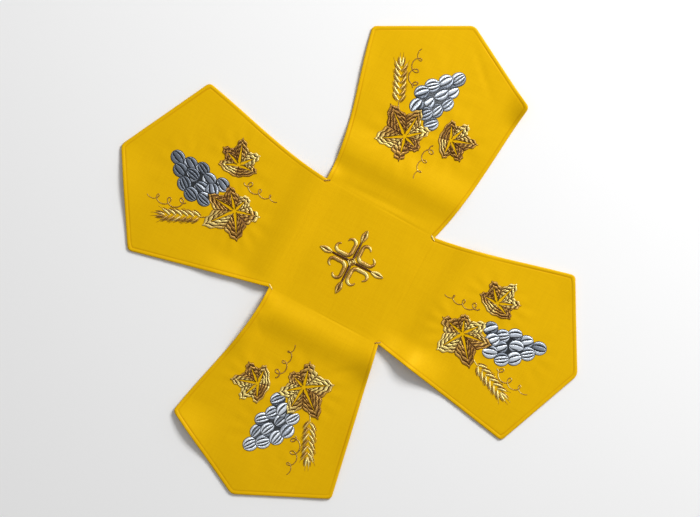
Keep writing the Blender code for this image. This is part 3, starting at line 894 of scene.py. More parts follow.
@dataclass
class Stitching:
    """Satin columns gathered for one piece.

    A column lies between a left and a right curve. Its section is a dome, a half ellipse drawn a little
    square, closed below by two points that are sunk in the satin.
    """

    drape: Drape
    seed: int
    points: list[Array] = field(default_factory=list)
    quads: list[Array] = field(default_factory=list)
    uv: list[Array] = field(default_factory=list)
    lay: list[Array] = field(default_factory=list)

    STEP = 0.5
    SINK = 0.25
    DOME_ANGLES = np.linspace(0.0, np.pi, 8)
    ACROSS = np.concatenate(((1.0 - np.cos(DOME_ANGLES)) / 2.0, (0.9, 0.1)))
    DOME = np.concatenate((np.sin(DOME_ANGLES) ** 0.75, (0.0, 0.0)))
    ABOVE = np.concatenate((np.ones(8), np.zeros(2)))
    CAP = np.array(((0, 1, 8, 9), (1, 2, 7, 8), (2, 3, 6, 7), (3, 4, 5, 6)))
    JITTER = 0.06
    # Thread direction in degrees that is painted palest, a painted highlight; then the painted sheen's floor and
    # random spread
    PALEST = 52.0
    LAY_FLOOR = 0.25
    LAY_SPREAD = 0.1

    def __post_init__(self) -> None:
        """Seed the piece's own small irregularities."""
        self.random = np.random.default_rng(self.seed)

    @classmethod
    def steps(cls, length: float) -> int:
        """Return how many rings a column of a length gets."""
        return max(int(np.ceil(length / cls.STEP)), 4) + 1

    def column(self, place: Place, left: Array, right: Array, crown: Array | float, tone: float = 0.0,
               body: Callable[[Array], Array] | None = None, deep: bool = False,
               sheen_turn: float = 0.0) -> None:
        """Add the column between two curves of as many points each.

        Its painted sheen, from pale to dark, is the squared cosine of the angle between its threads and the palest
        direction.

        Args:
            place: The motif's place.
            left: The left curve in the motif's frame.
            right: The right curve.
            crown: Height of the dome, for all rings or one a ring.
            tone: How much paler than its painted sheen the thread is.
            body: Height of the padding under the column at points of the motif's frame.
            deep: Whether it takes the darkest colour and no painted sheen, as the dark sheets of painted shade do.
            sheen_turn: Degrees between its threads and the ones that its painted sheen is told by.
        """
        count = len(left)
        jitter = self.random.uniform(-self.JITTER, self.JITTER, (2, count, 1))
        outward = unit(left - right + 1e-9)
        left, right = left + outward * jitter[0], right - outward * jitter[1]
        across = self.ACROSS[None, :, None]
        grid = left[:, None] * (1.0 - across) + right[:, None] * across
        crown = np.broadcast_to(crown, count)[:, None] * (1.0 + self.random.uniform(-0.06, 0.06, (count, 1)))
        height = crown * self.DOME
        if body is not None:
            height = height + body(grid) * self.ABOVE
        height = np.where(self.ABOVE > 0.0, height, -self.SINK)
        plan = place.to_plan(grid)
        if place.mirrored():
            plan, height = plan[::-1], height[::-1]
        z = self.drape.top(plan[..., 0], plan[..., 1]) + height
        run = np.linalg.norm(np.diff((plan[:, 0] + plan[:, 7]) / 2.0, axis=0), axis=1)
        length = np.concatenate(((0.0,), np.cumsum(run))) + self.random.uniform(0.0, 50.0)
        # Painted sheen: paler as the threads near the palest direction, plus the arm's painted sheen, the tone and a
        # random tone.
        thread = plan[:, 7] - plan[:, 0]
        angle = np.arctan2(thread[:, 1], thread[:, 0]) - np.radians(self.PALEST + sheen_turn)
        shade = place.arm.sheen if place.arm else 0.0
        lay = self.LAY_FLOOR + (1.0 - self.LAY_FLOOR) * np.cos(angle) ** 2
        lay = np.clip(lay + tone + shade + self.random.normal(0.0, self.LAY_SPREAD), self.LAY_FLOOR, 1.0)
        self._keep(np.concatenate((plan, z[..., None]), axis=-1), length, lay * (0.0 if deep else 1.0))

    def _keep(self, grid: Array, length: Array, lay: Array) -> None:
        """Store a column's rings with their quads, caps, UV places and painted sheen."""
        count, ring = grid.shape[:2]
        index = np.arange(count * ring).reshape(count, ring)
        closed = np.concatenate((index, index[:, :1]), axis=1)
        start = sum(len(points) for points in self.points)
        caps = np.concatenate((index[0][self.CAP[:, ::-1]], index[-1][self.CAP]))
        self.points.append(grid.reshape(-1, 3))
        self.quads.append(np.concatenate((grid_quads(closed)[:, ::-1], caps)) + start)
        self.uv.append(np.stack(np.broadcast_arrays(length[:, None], self.ACROSS[None]), axis=-1).reshape(-1, 2))
        self.lay.append(np.repeat(lay, ring))

    def stroke(self, place: Place, path: Array, half_width: Array | float, crown: Array | float,
               tone: float = 0.0, deep: bool = False) -> None:
        """Add a column along a path.

        Args:
            place: The motif's place.
            path: Points of its middle line in the motif's frame.
            half_width: Half its width, for all points or one a point.
            crown: Height of the dome, likewise.
            tone: How much paler than its painted sheen the thread is.
            deep: Whether it takes the darkest colour, as the dark sheets of painted shade do.
        """
        ahead = unit(np.gradient(path, axis=0))
        side = np.stack((-ahead[:, 1], ahead[:, 0]), axis=1) * np.broadcast_to(half_width, len(path))[:, None]
        self.column(place, path + side, path - side, crown, tone, deep=deep)

    def build(self, name: str, middle: Array, material: bpy.types.Material) -> bpy.types.Object:
        """Make one object of the columns.

        Args:
            name: The object's name.
            middle: Plan place that becomes the origin.
            material: The finish.

        Returns:
            The object.
        """
        data = MeshData(np.concatenate(self.points), np.concatenate(self.quads), np.concatenate(self.uv))
        data.attributes["lay"] = np.concatenate(self.lay)
        return data.build(name, middle, material, 60.0)


def blunt(share: Array, power: float = 6.0) -> Array:
    """Width of a stroke with rounded ends: the root of 1 - |2 share - 1| to a power, and a bit."""
    return np.sqrt(1.0 - np.abs(2.0 * share - 1.0) ** power * 0.97)


def spindle(share: Array, fullest: float = 0.45) -> Array:
    """Width of a stroke with pointed ends: a sine that is fullest at a share of its length."""
    bent = share ** (np.log(0.5) / np.log(fullest))
    return 0.08 + 0.92 * np.sin(np.pi * bent) ** 0.8


@dataclass(frozen=True)
class Lobe:
    """Lobe of a leaf: its tip's direction from the leaf's axis in degrees, its length, its teeth's depth."""

    turn: float
    length: float
    tooth: float


@dataclass(frozen=True)
class HalfLobe:
    """Half of a lobe, between its vein and the line from the leaf's middle to the notch beside it."""

    lobe: Lobe
    neighbour: Lobe
    side: float
    notch: float
    slit: float
    teeth: float = 2.0
    bulge: float = 0.9
    vein_reach: float = 0.84
    vein_fan: float = 1.15
    vein_opening: float = 1.25
    border_reach: float = 0.92
    fade: float = 0.7
    calm: float = 0.8

    def corners(self) -> tuple[Array, Array, Array]:
        """Return the tip, the notch and the outward direction of the edge between them."""
        sweep = self.side * ((self.neighbour.turn - self.lobe.turn) * self.side % 360.0)
        tip = turned(np.array((self.lobe.length, 0.0)), self.lobe.turn)
        depth = (self.lobe.length + self.neighbour.length) / 2.0 * self.notch
        notch = turned(np.array((depth, 0.0)), self.lobe.turn + sweep / 2.0)
        return tip, notch, turned(unit(notch - tip), -90.0 * self.side)

    def depth(self) -> float:
        """Return how far the stitched part reaches inwards from the edge."""
        tip, _, outward = self.corners()
        return float(outward @ tip) * (self.vein_reach + self.border_reach) / 2.0

    def at(self, u: Array, w: Array | float) -> Array:
        """Lay out the half: straight lines from a place on the vein to one on the border, pushed outwards.

        The push is half a sine for the bulge. For the teeth it is a sine less a ninth of the one three times
        as fast, nearly a zigzag, which starts inwards, so that the tip is slim. Both fade inwards.

        Args:
            u: 0 at the vein and 1 at the border.
            w: 0 at the leaf's edge and 1 by its heart.

        Returns:
            Points in the leaf's frame.
        """
        tip, notch, outward = self.corners()
        away = turned(unit(tip), 90.0 * self.side)
        within = turned(unit(notch), -90.0 * self.side)
        w = np.broadcast_to(w, u.shape)
        opening = self.slit / 2.0 + self.vein_opening * w**1.6
        vein = tip * (1.0 - self.vein_reach * w**self.vein_fan)[:, None] + away * opening[:, None]
        border = notch * (1.0 - self.border_reach * w)[:, None] + within * self.slit / 2.0
        phase = TURN * self.teeth * u
        zigzag = np.sin(3.0 * phase) / 9.0 - np.sin(phase)
        bulge = self.bulge * np.sin(np.pi * u) * (1.0 - self.fade * w)
        push = bulge + self.lobe.tooth * zigzag * (1.0 - w) ** self.calm
        return vein + (border - vein) * u[:, None] + outward * push[:, None]


@dataclass(frozen=True)
class VineLeaf:
    """Vine leaf: each lobe is filled with nested columns along its flanks, with its vein left bare within.

    The first columns turn round the lobe's tip in one. The ones inside them stop by the vein on either side.
    """

    place: Place
    lobes: tuple[Lobe, ...]
    pitch: float
    crown: float = 0.72
    notch: float = 0.62
    sharpness: float = 1.5
    slit: float = 0.4
    joined: int = 2
    underlay: float = 0.14
    underlay_slit: float = -0.5

    def reach(self, angle: Array) -> Array:
        """Return how far the leaf's edge is from its middle in a direction.

        Between two tips it falls from the mean of their lengths by a power of a sine.
        """
        turns = np.radians([lobe.turn for lobe in self.lobes] + [self.lobes[0].turn + 360.0])
        lengths = np.array([lobe.length for lobe in self.lobes] + [self.lobes[0].length])
        angle = (angle - turns[0]) % TURN + turns[0]
        sector = np.clip(np.searchsorted(turns, angle, side="right") - 1, 0, len(self.lobes) - 1)
        share = (angle - turns[sector]) / (turns[sector + 1] - turns[sector])
        length = lengths[sector] + share * (lengths[sector + 1] - lengths[sector])
        return length * (1.0 - (1.0 - self.notch) * np.sin(np.pi * share) ** self.sharpness)

    def hides(self, spray_points: Array, clearance: float) -> Array:
        """Tell which points of the spray's frame lie under the leaf or within a clearance of it."""
        own = self.place.from_spray(spray_points)
        angle = np.arctan2(own[..., 1], own[..., 0])
        return np.hypot(own[..., 0], own[..., 1]) < self.reach(angle) + clearance

    def fill(self, stitching: Stitching, left: HalfLobe, right: HalfLobe) -> None:
        """Stitch one lobe over a dark sheet of painted shade that shows between its columns.

        Args:
            stitching: Where the columns go.
            left: The half to the left of the vein, seen from the leaf's middle.
            right: The other half.
        """
        depth = (left.depth() + right.depth()) / 2.0
        count = max(int(round(depth / self.pitch)), 3)
        inset = self.slit / depth / 2.0
        steps = stitching.steps(depth)
        inwards, outwards = np.linspace(1.0, 0.0, steps), np.linspace(0.0, 1.0, steps)
        for number in range(count):
            first, second = number / count + inset, (number + 1) / count - inset
            tone = stitching.random.normal(0.0, 0.06)
            pairs = [(left.at(inwards, first), left.at(inwards, second)),
                     (right.at(outwards, first), right.at(outwards, second))]
            if number < self.joined:
                pairs = [tuple(np.concatenate(curves) for curves in zip(*pairs))]
            for outer, inner in pairs:
                share = np.linspace(0.0, 1.0, len(outer))
                stitching.column(self.place, outer, inner, self.crown * blunt(share, 14.0), tone)
        # Dark sheet of painted shade under the lobe's columns.
        for half, u in ((replace(left, slit=self.underlay_slit), inwards),
                        (replace(right, slit=self.underlay_slit), outwards)):
            stitching.column(self.place, half.at(u, inset), half.at(u, 1.0 - inset), self.underlay, deep=True)

    def stitch(self, stitching: Stitching) -> None:
        """Stitch every lobe."""
        for number, lobe in enumerate(self.lobes):
            after, before = self.lobes[(number + 1) % len(self.lobes)], self.lobes[number - 1]
            left = HalfLobe(lobe, after, 1.0, self.notch, self.slit)
            right = HalfLobe(lobe, before, -1.0, self.notch, self.slit)
            self.fill(stitching, left, right)


@dataclass(frozen=True)
class GrapeRow:
    """Row across the bunch: its distance from the stem, its first grape's place aside, its count."""

    along: float
    first: float
    count: int


@dataclass(frozen=True)
class Grape:
    """One grape of the bunch: an ellipse with its longer axis turned a little from the bunch's."""

    centre: tuple[float, float]
    half_length: float
    half_width: float
    turn: float

    def share(self, points: Array) -> Array:
        """Return the squared distance of points from the middle, 1 on the grape's edge."""
        offset = turned(points - self.centre, -self.turn) / (self.half_length, self.half_width)
        return (offset**2).sum(axis=-1)

    def hides(self, points: Array, clearance: float) -> Array:
        """Tell which points lie under the grape or within a clearance of it."""
        return self.grown(clearance).share(points) < 1.0

    def grown(self, rim: float) -> "Grape":
        """Return the grape with a rim added all round."""
        return Grape(self.centre, self.half_length + rim, self.half_width + rim, self.turn)

    def meridian(self, share: float, angle: Array) -> Array:
        """Return a line from pole to pole.

        Along the grape it is the half length times the angle's sine, and across it a share of the half
        width times the cosine.
        """
        curve = np.stack((self.half_length * np.sin(angle), share * self.half_width * np.cos(angle)), axis=1)
        return turned(curve, self.turn) + self.centre


@dataclass(frozen=True)
class GrapeBunch:
    """Bunch of grapes: each is a padded ellipse of silver crescents with dark slits between them, over a dark sheet
    of painted shade.
    """

    place: Place
    leaf: VineLeaf
    rows: tuple[GrapeRow, ...] = (
        GrapeRow(5.5, 2.6, 3),
        GrapeRow(13.8, 7.6, 3),
        GrapeRow(22.4, 6.8, 3),
        GrapeRow(31.6, 3.2, 2),
        GrapeRow(39.4, -0.9, 1),
    )
    pitch: float = 8.0
    unevenness: float = 1.3
    half_length: float = 5.15
    half_width: float = 4.75
    padding: float = 0.55
    crown: float = 0.42
    slit: float = 0.15
    clearance: float = 0.3
    rim: float = 0.3
    underlay: float = 0.12
    slant: float = 22.0
    cuts: tuple[tuple[float, ...], ...] = ((-1.0, -0.42, 0.4, 1.0), (-1.0, -0.5, 0.04, 0.5, 1.0))
    pole: float = 0.487 * np.pi

    def grapes(self, stitching: Stitching) -> Iterator[Grape]:
        """Yield the grapes from the stem outwards, a row staggered by turns."""
        for number, row in enumerate(self.rows):
            for place in range(row.count):
                along = row.along + self.unevenness * (place % 2) * (-1) ** number
                centre = (along, row.first - place * self.pitch)
                turn = stitching.random.uniform(-self.slant, self.slant) - self.slant / 3.0
                yield Grape(centre, self.half_length, self.half_width, turn)

    def core(self) -> tuple[Array, Array]:
        """Return the left and the right line through the outer grapes' middles, from row to row."""
        knots = np.array([row.along for row in self.rows])
        first = np.array([row.first for row in self.rows])
        last = first - self.pitch * (np.array([row.count for row in self.rows]) - 1.0)
        along = np.linspace(knots[0], knots[-1], 96)
        return tuple(np.stack((along, np.interp(along, knots, side)), axis=1) for side in (first + 0.4, last - 0.4))

    def visible(self, curve: Array, above: list[Grape], clearance: float) -> Array | None:
        """Return the longest stretch of a curve that nothing above it hides, or None if it is short.

        Args:
            curve: Points in the bunch's frame.
            above: The grapes that lie over this one.
            clearance: How far it stays from them.

        Returns:
            The stretch's points.
        """
        hidden = self.leaf.hides(self.place.to_spray(curve), clearance)
        for grape in above:
            hidden |= grape.hides(curve, clearance)
        change = np.flatnonzero(np.diff(np.concatenate(((True,), hidden, (True,))).astype(int)))
        starts, ends = change[::2], change[1::2]
        if len(starts) == 0:
            return None
        longest = np.argmax(ends - starts)
        run = curve[starts[longest]:ends[longest]]
        return run if len(run) > len(curve) // 8 else None

    def crescent(self, stitching: Stitching, curves: list[Array | None], crown: float, tone: float = 0.0,
                 body: Callable[[Array], Array] | None = None, deep: bool = False) -> None:
        """Stitch the column between two meridians, or what shows of them.

        Args:
            stitching: Where the column goes.
            curves: The two meridians.
            crown: Height of its dome.
            tone: How much paler than its painted sheen the thread is.
            body: Height of the padding under it.
            deep: Whether it is a dark sheet of painted shade.
        """
        if curves[0] is None or curves[1] is None:
            return
        count = stitching.steps(np.linalg.norm(np.diff(curves[0], axis=0), axis=1).sum())
        left, right = (stage_points(curve, count) for curve in curves)
        heights = crown * blunt(np.linspace(0.0, 1.0, count), 4.0)
        stitching.column(self.place, left, right, heights, tone, body, deep, sheen_turn=90.0)

    def stitch(self, stitching: Stitching) -> None:
        """Stitch the grapes, each part of one that shows past the leaf and the grapes nearer the stem, with dark
        sheets of painted shade under them.
        """
        angle = np.linspace(-self.pole, self.pole, 96)
        above: list[Grape] = []
        for grape in self.grapes(stitching):
            tone = stitching.random.normal(0.0, 0.1)
            cut = self.cuts[int(stitching.random.integers(len(self.cuts)))]
            shift = stitching.random.uniform(-0.12, 0.12)
            edges = [edge + shift * (1.0 - abs(edge)) for edge in cut]

            def padding(points: Array, grape: Grape = grape) -> Array:
                """Return the padding's height: a dome over the grape."""
                return self.padding * np.sqrt(np.clip(1.0 - 0.92 * grape.share(points), 0.0, 1.0))

            for first, second in zip(edges, edges[1:]):
                near = second - self.slit / 2.0 * (second < 1.0)
                far = first + self.slit / 2.0 * (first > -1.0)
                curves = [self.visible(grape.meridian(edge, angle), above, self.clearance) for edge in (near, far)]
                self.crescent(stitching, curves, self.crown, tone, padding)
            # Dark sheet of painted shade under the grape, seen through its slits.
            under = grape.grown(self.rim)
            curves = [self.visible(under.meridian(edge, angle), [], -self.rim) for edge in (1.0, -1.0)]
            self.crescent(stitching, curves, self.underlay, deep=True)
            above.append(grape)
        # Dark sheet of painted shade between the grapes along the bunch's middle.
        self.crescent(stitching, [self.visible(side, [], 0.0) for side in self.core()], self.underlay, deep=True)


@dataclass(frozen=True)
class WheatEar:
    """Ear of wheat: slanted grains in pairs, each a pale stroke, a painted highlight, with a dark one under it as
    painted shade, and awns.
    """

    place: Place
    pairs: int = 6
    pitch: float = 4.2
    root: float = 1.05
    grain: float = 7.4
    spread: float = 34.0
    grain_half: float = 0.85
    shadow_half: float = 0.42
    bend: float = 0.5
    crown: float = 0.7
    stalk_half: float = 0.36
    awn: float = 3.4
    awn_half: float = 0.17
    stalk: float = 7.0

    def kernel(self, stitching: Stitching, root: float, spread: float) -> None:
        """Stitch one grain: a pale spindle bent outwards, painted as a highlight, and a dark one below it on the
        stalk's side as painted shade.

        Args:
            stitching: Where the strokes go.
            root: The grain's root along the ear.
            spread: The angle between the grain and the ear, in degrees.
        """
        side = np.sign(spread)
        share = np.linspace(0.0, 1.0, stitching.steps(self.grain))
        straight = np.stack((share * self.grain, side * self.bend * np.sin(np.pi * share)), axis=1)
        straight = straight + (0.0, side * 0.15)
        # Tones: the pale stroke is painted highlight and the dark stroke painted shade of the grain's dome.
        for shift, half, tone in ((-0.3, self.grain_half, 0.3), (0.95, self.shadow_half, -0.5)):
            path = turned(straight + (0.0, side * shift), spread) + (root, 0.0)
            stitching.stroke(self.place, path, half * spindle(share), self.crown * spindle(share), tone)

    def hair(self, stitching: Stitching, start: Array, spread: float) -> None:
        """Stitch an awn from a place, bent a little back towards the ear's direction."""
        share = np.linspace(0.0, 1.0, stitching.steps(self.awn))
        bent = np.stack((share * self.awn, -0.12 * self.awn * np.sign(spread) * share**2), axis=1)
        path = turned(bent, spread) + start
        stitching.stroke(self.place, path, self.awn_half * (1.1 - 0.8 * share), 0.25, -0.3)

    def stitch(self, stitching: Stitching) -> None:
        """Stitch the stalk, the pairs of grains, the two at the tip and the awns."""
        share = np.linspace(0.0, 1.0, stitching.steps(self.stalk))
        stalk = np.stack((self.root - self.stalk * share, -1.2 * share**2), axis=1)
        stitching.stroke(self.place, stalk, self.stalk_half, 0.35, -0.1)
        slope = np.radians(self.spread)
        reach = self.grain * np.array((np.cos(slope), np.sin(slope)))
        for pair in range(self.pairs):
            for side in (-1.0, 1.0):
                root = self.root + (pair + 0.12 * side) * self.pitch
                self.kernel(stitching, root, side * self.spread)
                if pair % 2:
                    self.hair(stitching, np.array((root - 0.6, 0.0)) + reach * (1.0, side), side * self.spread)
        top = self.root + self.pairs * self.pitch - 1.2
        for spread in (-9.0, 9.0):
            self.kernel(stitching, top, spread)
            self.hair(stitching, np.array((top + self.grain * 0.9, spread / 9.0)), spread)


@dataclass(frozen=True)
class Tendril:
    """Curled tendril: a small circle rolled along a bent line, wide at its first loop and tight at its end.

    It is told in the spray's frame: where it starts, the direction it takes and where its line ends up.
    """

    start: tuple[float, float]
    heading: float
    length: float
    loops: float
    phase: float
    curl: float
    wide: float
    tight: float
    bend: float

    def path(self) -> Array:
        """Return its points: the line's place plus the circle's radius, turned by the rolling angle.

        The radius opens over the first tenth of the length and then shrinks from wide to tight.
        """
        share = np.linspace(0.0, 1.0, 260)
        radius = (self.wide + (self.tight - self.wide) * share) * np.clip(share / 0.12, 0.0, 1.0) ** 0.7
        rolling = np.radians(self.phase) + self.curl * TURN * self.loops * share
        line = np.stack((self.length * share, self.bend * np.sin(np.pi * share)), axis=1)
        circle = np.stack((np.cos(rolling), np.sin(rolling)), axis=1) * radius[:, None]
        return turned(line + circle, self.heading) + self.start


@dataclass(frozen=True)
class Tendrils:
    """The two tendrils of a spray, each one thin thread."""

    place: Place
    curls: tuple[Tendril, ...] = (
        Tendril((84.0, 17.5), 12.0, 25.5, 3.1, 60.0, -1.0, 3.6, 2.2, 2.2),
        Tendril((54.5, -13.5), 178.0, 25.0, 3.2, 250.0, 1.0, 3.3, 1.7, -1.2),
    )
    half_width: float = 0.42
    crown: float = 0.45

    def stitch(self, stitching: Stitching) -> None:
        """Stitch both, thinner towards the end."""
        for curl in self.curls:
            dense = curl.path()
            length = np.linalg.norm(np.diff(dense, axis=0), axis=1).sum()
            path = stage_points(dense, stitching.steps(length))
            taper = 1.0 - 0.35 * np.linspace(0.0, 1.0, len(path))
            stitching.stroke(self.place, path, self.half_width * taper, self.crown * taper, -0.25)


@dataclass(frozen=True)
class CentreCross:
    """Cross on the square: a hooked band in each quarter, a dark rib of painted shade between the bands and a bud on
    each arm, a lozenge within.
    """

    place: Place = Place()
    tip: float = 24.3
    band: float = 2.9
    crown: float = 1.0
    offset: float = 2.75
    corner: float = 3.4
    straight: float = 11.6
    hook: float = 3.15
    sweep: float = 168.0
    thinning: float = 0.68
    shade_rib_half: float = 1.2
    shade_rib_crown: float = 0.3
    bud_start: float = 15.0
    bud_half: float = 1.1
    bud_thread: float = 1.0
    seed_half: float = 0.6
    lozenge_sides: tuple[float, ...] = (2.9, 1.3)

    def half_band(self) -> Array:
        """Return half a band's path: an eighth of a turn by the middle, a straight run and the hook."""
        centre = self.offset + self.corner
        turn = np.radians(np.linspace(225.0, 270.0, 12))
        bend = centre + self.corner * np.stack((np.cos(turn), np.sin(turn)), axis=1)
        curl = np.radians(-90.0 + np.linspace(0.0, self.sweep, 40))
        hook = self.hook * np.stack((np.cos(curl), np.sin(curl)), axis=1)
        hook = hook * (1.0 - 0.14 * np.linspace(0.0, 1.0, 40)[:, None])
        return np.concatenate((bend, hook + (self.straight, self.offset + self.hook)))

    def quarter(self, stitching: Stitching, turn: float) -> None:
        """Stitch the hooked band of one quarter, thin at both ends by a cubic."""
        half = self.half_band()
        dense = np.concatenate((half[:0:-1, ::-1], half))
        run = np.concatenate(((0.0,), np.cumsum(np.linalg.norm(np.diff(dense, axis=0), axis=1))))
        places = np.linspace(0.0, run[-1], stitching.steps(run[-1]))
        band = np.stack([np.interp(places, run, column) for column in dense.T], axis=1)
        fall = np.abs(np.linspace(-1.0, 1.0, len(band))) ** 3
        width = self.band / 2.0 * (1.0 - self.thinning * fall)
        stitching.stroke(self.place, turned(band, turn), width, self.crown * (1.0 - 0.4 * fall))

    def arm(self, stitching: Stitching, turn: float) -> None:
        """Stitch what lies along one arm: the dark rib, painted shade in the gap between the bands, then the bud's
        two sides and its dark seed.
        """
        share = np.linspace(0.0, 1.0, 24)
        # Dark rib: painted shade in the gap between the two bands.
        shade_rib = np.stack((1.5 + self.bud_start * share, np.zeros(24)), axis=1)
        width = self.shade_rib_half * (1.0 - 0.35 * share) * blunt(share)
        stitching.stroke(self.place, turned(shade_rib, turn), width, self.shade_rib_crown, deep=True)
        for side in (-1.0, 1.0):
            along = self.bud_start + (self.tip - self.bud_start) * share
            aside = side * (0.25 + self.bud_half * (1.0 - np.abs(2.0 * share - 1.0) ** 1.3))
            bud = np.stack((along, aside), axis=1)
            stitching.stroke(self.place, turned(bud, turn), self.bud_thread * spindle(share), 0.85, 0.1)
        middle = self.bud_start + (self.tip - self.bud_start) * 0.48
        seed = np.stack((middle + 2.2 * (2.0 * share - 1.0), np.zeros(24)), axis=1)
        stitching.stroke(self.place, turned(seed, turn), self.seed_half * spindle(share), 0.35, deep=True)

    def lozenge(self, stitching: Stitching, turn: float) -> None:
        """Stitch one side of each of the small nested lozenges in the middle."""
        share = np.linspace(0.0, 1.0, 12)
        for number, half in enumerate(self.lozenge_sides):
            side = np.stack((half * (1.0 - share), half * share), axis=1)
            stitching.stroke(self.place, turned(side, turn), 0.55 * blunt(share), 0.7, 0.2 * number - 0.2)

    def stitch(self, stitching: Stitching) -> None:
        """Stitch the four quarters, the four arms and the lozenge in the middle."""
        for number in range(4):
            self.arm(stitching, 90.0 * number)
        for number in range(4):
            self.quarter(stitching, 90.0 * number)
            self.lozenge(stitching, 90.0 * number)


@dataclass(frozen=True)
class BarTacks:
    """Short bars of stitches that hold the seam at the square's four corners."""

    length: float = 4.6
    half_width: float = 0.5
    crown: float = 0.35
    inset: float = 1.4

    def stitch(self, stitching: Stitching) -> None:
        """Stitch a bar by each corner, across the corner's bisector."""
        share = np.linspace(0.0, 1.0, 12)
        for number, corner in enumerate(CORNERS):
            inward = unit(-corner)
            centre = corner + inward * self.inset
            lean = 12.0 * (-1) ** number
            along = turned(inward, 90.0 + lean) * self.length
            path = centre + along * (share - 0.5)[:, None]
            stitching.stroke(Place(), path, self.half_width * blunt(share), self.crown, 0.0)


class Motif(Enum):
    """Motifs of a spray, by the first part of their names."""

    GRAPES = "grapes"
    LARGE_LEAF = "large_leaf"
    SMALL_LEAF = "small_leaf"
    WHEAT = "wheat"
    TENDRILS = "tendrils"


LARGE_LOBES = (Lobe(-28.0, 22.0, 0.35), Lobe(28.0, 25.0, 0.45), Lobe(98.0, 21.5, 0.5),
               Lobe(170.0, 18.5, 0.75), Lobe(228.0, 14.0, 0.4), Lobe(286.0, 18.5, 0.5))
SMALL_LOBES = (Lobe(-14.0, 19.5, 0.5), Lobe(36.0, 17.0, 0.5), Lobe(82.0, 14.5, 0.35),
               Lobe(240.0, 14.0, 0.35), Lobe(288.0, 16.5, 0.5))


@dataclass(frozen=True)
class Spray:
    """The spray of one arm: its motifs in their places."""

    arm: Arm

    def motifs(self) -> dict[Motif, GrapeBunch | VineLeaf | WheatEar | Tendrils]:
        """Return the spray's motifs by kind."""
        leaf = VineLeaf(Place(self.arm, 51.5, 7.0, 23.0), LARGE_LOBES, 2.05)
        return {
            Motif.GRAPES: GrapeBunch(Place(self.arm, 68.0, 9.5, -25.0), leaf),
            Motif.LARGE_LEAF: leaf,
            Motif.SMALL_LEAF: VineLeaf(Place(self.arm, 63.5, -22.5, -58.0), SMALL_LOBES, 1.8),
            Motif.WHEAT: WheatEar(Place(self.arm, 70.0, 21.5, 23.0)),
            Motif.TENDRILS: Tendrils(Place(self.arm)),
        }


@dataclass(frozen=True)
class Studio:
    """Pale floor, soft lights and the camera above the veil, with the picture turned as the veil lies."""

    eye_height: float = 1.6
    lens: float = 119.0
    floor_half: float = 3.0
    floor_drop: float = 0.0004
    key_elevation: float = 42.0
    key_distance: float = 1.6
    key_size: float = 0.55
    key_power: float = 24.0
    fill_power: float = 0.6
    sky_dark: float = 0.16
    sky_bright: float = 0.62

    def lamp(self, name: str, azimuth: float, elevation: float, size: float, power: float) -> None:
        """Hang a square area light that faces the veil.

        Args:
            name: The light's name.
            azimuth: Where it is in plan, in degrees.
            elevation: How high it is, in degrees.
            size: Its side in metres.
            power: Its power in watts.
        """
        light = bpy.data.lights.new(name, "AREA")
        light.size = size
        light.energy = power
        lamp = bpy.data.objects.new(name, light)
        turn, rise = np.radians(azimuth), np.radians(elevation)
        lamp.location = self.key_distance * np.array(
            (np.cos(rise) * np.cos(turn), np.cos(rise) * np.sin(turn), np.sin(rise)))
        lamp.rotation_euler = (np.pi / 2.0 - rise, 0.0, turn + np.pi / 2.0)
        bpy.context.scene.collection.objects.link(lamp)

    def floor(self) -> None:
        """Lay the floor, a plain pale square."""
        corner = self.floor_half
        mesh = bpy.data.meshes.new("floor")
        points = [(-corner, -corner, 0.0), (corner, -corner, 0.0), (corner, corner, 0.0), (-corner, corner, 0.0)]
        mesh.from_pydata([(x, y, -self.floor_drop) for x, y, _ in points], [], [(0, 1, 2, 3)])
        material, _, shader = new_material("pale floor")
        shader.inputs["Base Color"].default_value = (0.86, 0.86, 0.86, 1.0)
        shader.inputs["Roughness"].default_value = 0.8
        mesh.materials.append(material)
        floor = bpy.data.objects.new("floor", mesh)
        bpy.context.scene.collection.objects.link(floor)
        floor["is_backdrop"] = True

    def soft_sky(self) -> bpy.types.World:
        """Make a sky that brightens in a straight line from the side away from the key light to its side."""
        world = bpy.data.worlds.new("soft sky")
        world.use_nodes = True
        bench = NodeBench(world.node_tree)
        background = world.node_tree.nodes["Background"]
        place = bench.add("TexCoord")
        turn = bench.add("Mapping", Rotation=(0.0, 0.0, -np.radians(LIGHT_AZIMUTH)))
        split = bench.add("SeparateXYZ")
        bench.link(place.outputs["Generated"], turn.inputs["Vector"])
        bench.link(turn.outputs[0], split.inputs[0])
        share = bench.math("ADD", bench.math("MULTIPLY", split.outputs["X"], 0.5), 0.5)
        bench.link(bench.mix(share, (self.sky_dark,) * 3, (self.sky_bright,) * 3), background.inputs["Color"])
        return world

    def build(self) -> None:
        """Set up the camera, the lights, the sky and the floor."""
        scene = bpy.context.scene
        camera = bpy.data.objects.new("camera", bpy.data.cameras.new("camera"))
        camera.data.lens = self.lens
        camera.location = (0.0, 0.0, self.eye_height)
        camera.rotation_euler = (0.0, 0.0, np.radians(PICTURE_TURN))
        scene.collection.objects.link(camera)
        scene.camera = camera
        self.lamp("key", LIGHT_AZIMUTH, self.key_elevation, self.key_size, self.key_power)
        self.lamp("fill", LIGHT_AZIMUTH + 150.0, 55.0, 1.2, self.fill_power)
        scene.world = self.soft_sky()
        scene.view_settings.view_transform = "Standard"
        self.floor()


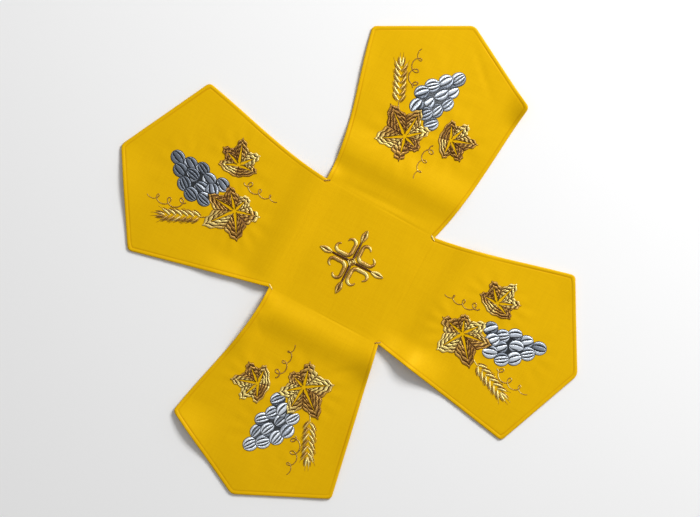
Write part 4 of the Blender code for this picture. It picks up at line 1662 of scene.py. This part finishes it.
class Veil:
    """The whole veil: builds each piece, dresses it and puts it in the frame."""

    def __init__(self) -> None:
        """Prepare the shared cut, drape and finishes."""
        self.cut = Cut()
        self.drape = Drape()
        self.middle = self.cut.middle()
        effects = Effects()
        self.satin = SatinFinish().build(effects)
        self.gold = ThreadFinish(
            "gold thread", deep=(0.10, 0.035, 0.003), dark=(0.30, 0.14, 0.016), middle=(0.55, 0.31, 0.06),
            pale=(0.95, 0.76, 0.25), roughness=0.34, metallic=0.5).build(effects)
        self.silver = ThreadFinish(
            "silver thread", deep=(0.035, 0.04, 0.045), dark=(0.15, 0.175, 0.215), middle=(0.40, 0.45, 0.53),
            pale=(0.78, 0.84, 0.92), roughness=0.32, metallic=0.5).build(effects)

    def place(self, piece: bpy.types.Object, slot: str, node: str | None) -> None:
        """Put a piece in the frame under its body, and hide the solid it stands for.

        Args:
            piece: The piece.
            slot: Not used.
            node: The solid it replaces, if there is one.
        """
        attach(piece, "root")
        if node is not None:
            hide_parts(node)
        LOG.info("%s: %d faces", piece.name, len(piece.data.polygons))

    def build_satin(self) -> None:
        satin = Satin(self.cut, self.drape)
        piece = satin.build(self.middle, self.satin)
        piece.name = "satin"
        self.place(piece, "golden_satin", "cloth")

    def build_embroidery(self) -> None:
        """Build the cross, the bar tacks and the four sprays."""
        cross = Stitching(self.drape, 5)
        CentreCross().stitch(cross)
        self.place(cross.build("centre_cross", self.middle, self.gold), "gold_thread", "cross")
        tacks = Stitching(self.drape, 6)
        BarTacks().stitch(tacks)
        self.place(tacks.build("bar_tacks", self.middle, self.gold), "gold_thread", None)
        for number, arm in enumerate(ARMS):
            for order, (kind, motif) in enumerate(Spray(arm).motifs().items()):
                stitching = Stitching(self.drape, 100 + 10 * number + order)
                motif.stitch(stitching)
                silver = kind is Motif.GRAPES
                name = f"{kind.value}_{arm.name}"
                piece = stitching.build(f"stitched_{name}", self.middle, self.silver if silver else self.gold)
                node = None if kind is Motif.TENDRILS else name
                self.place(piece, "silver_thread" if silver else "gold_thread", node)


def main() -> None:
    """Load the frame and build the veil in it."""
    logging.basicConfig(level=logging.INFO, format="%(message)s")
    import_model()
    solid_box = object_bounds()
    Studio().build()
    veil = Veil()
    veil.build_satin()
    veil.build_embroidery()
    boxes = {"solids": solid_box, "pieces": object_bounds()}
    {name: [list(corner) for corner in box] for name, box in boxes.items()}


if __name__ == "__main__":
    main()
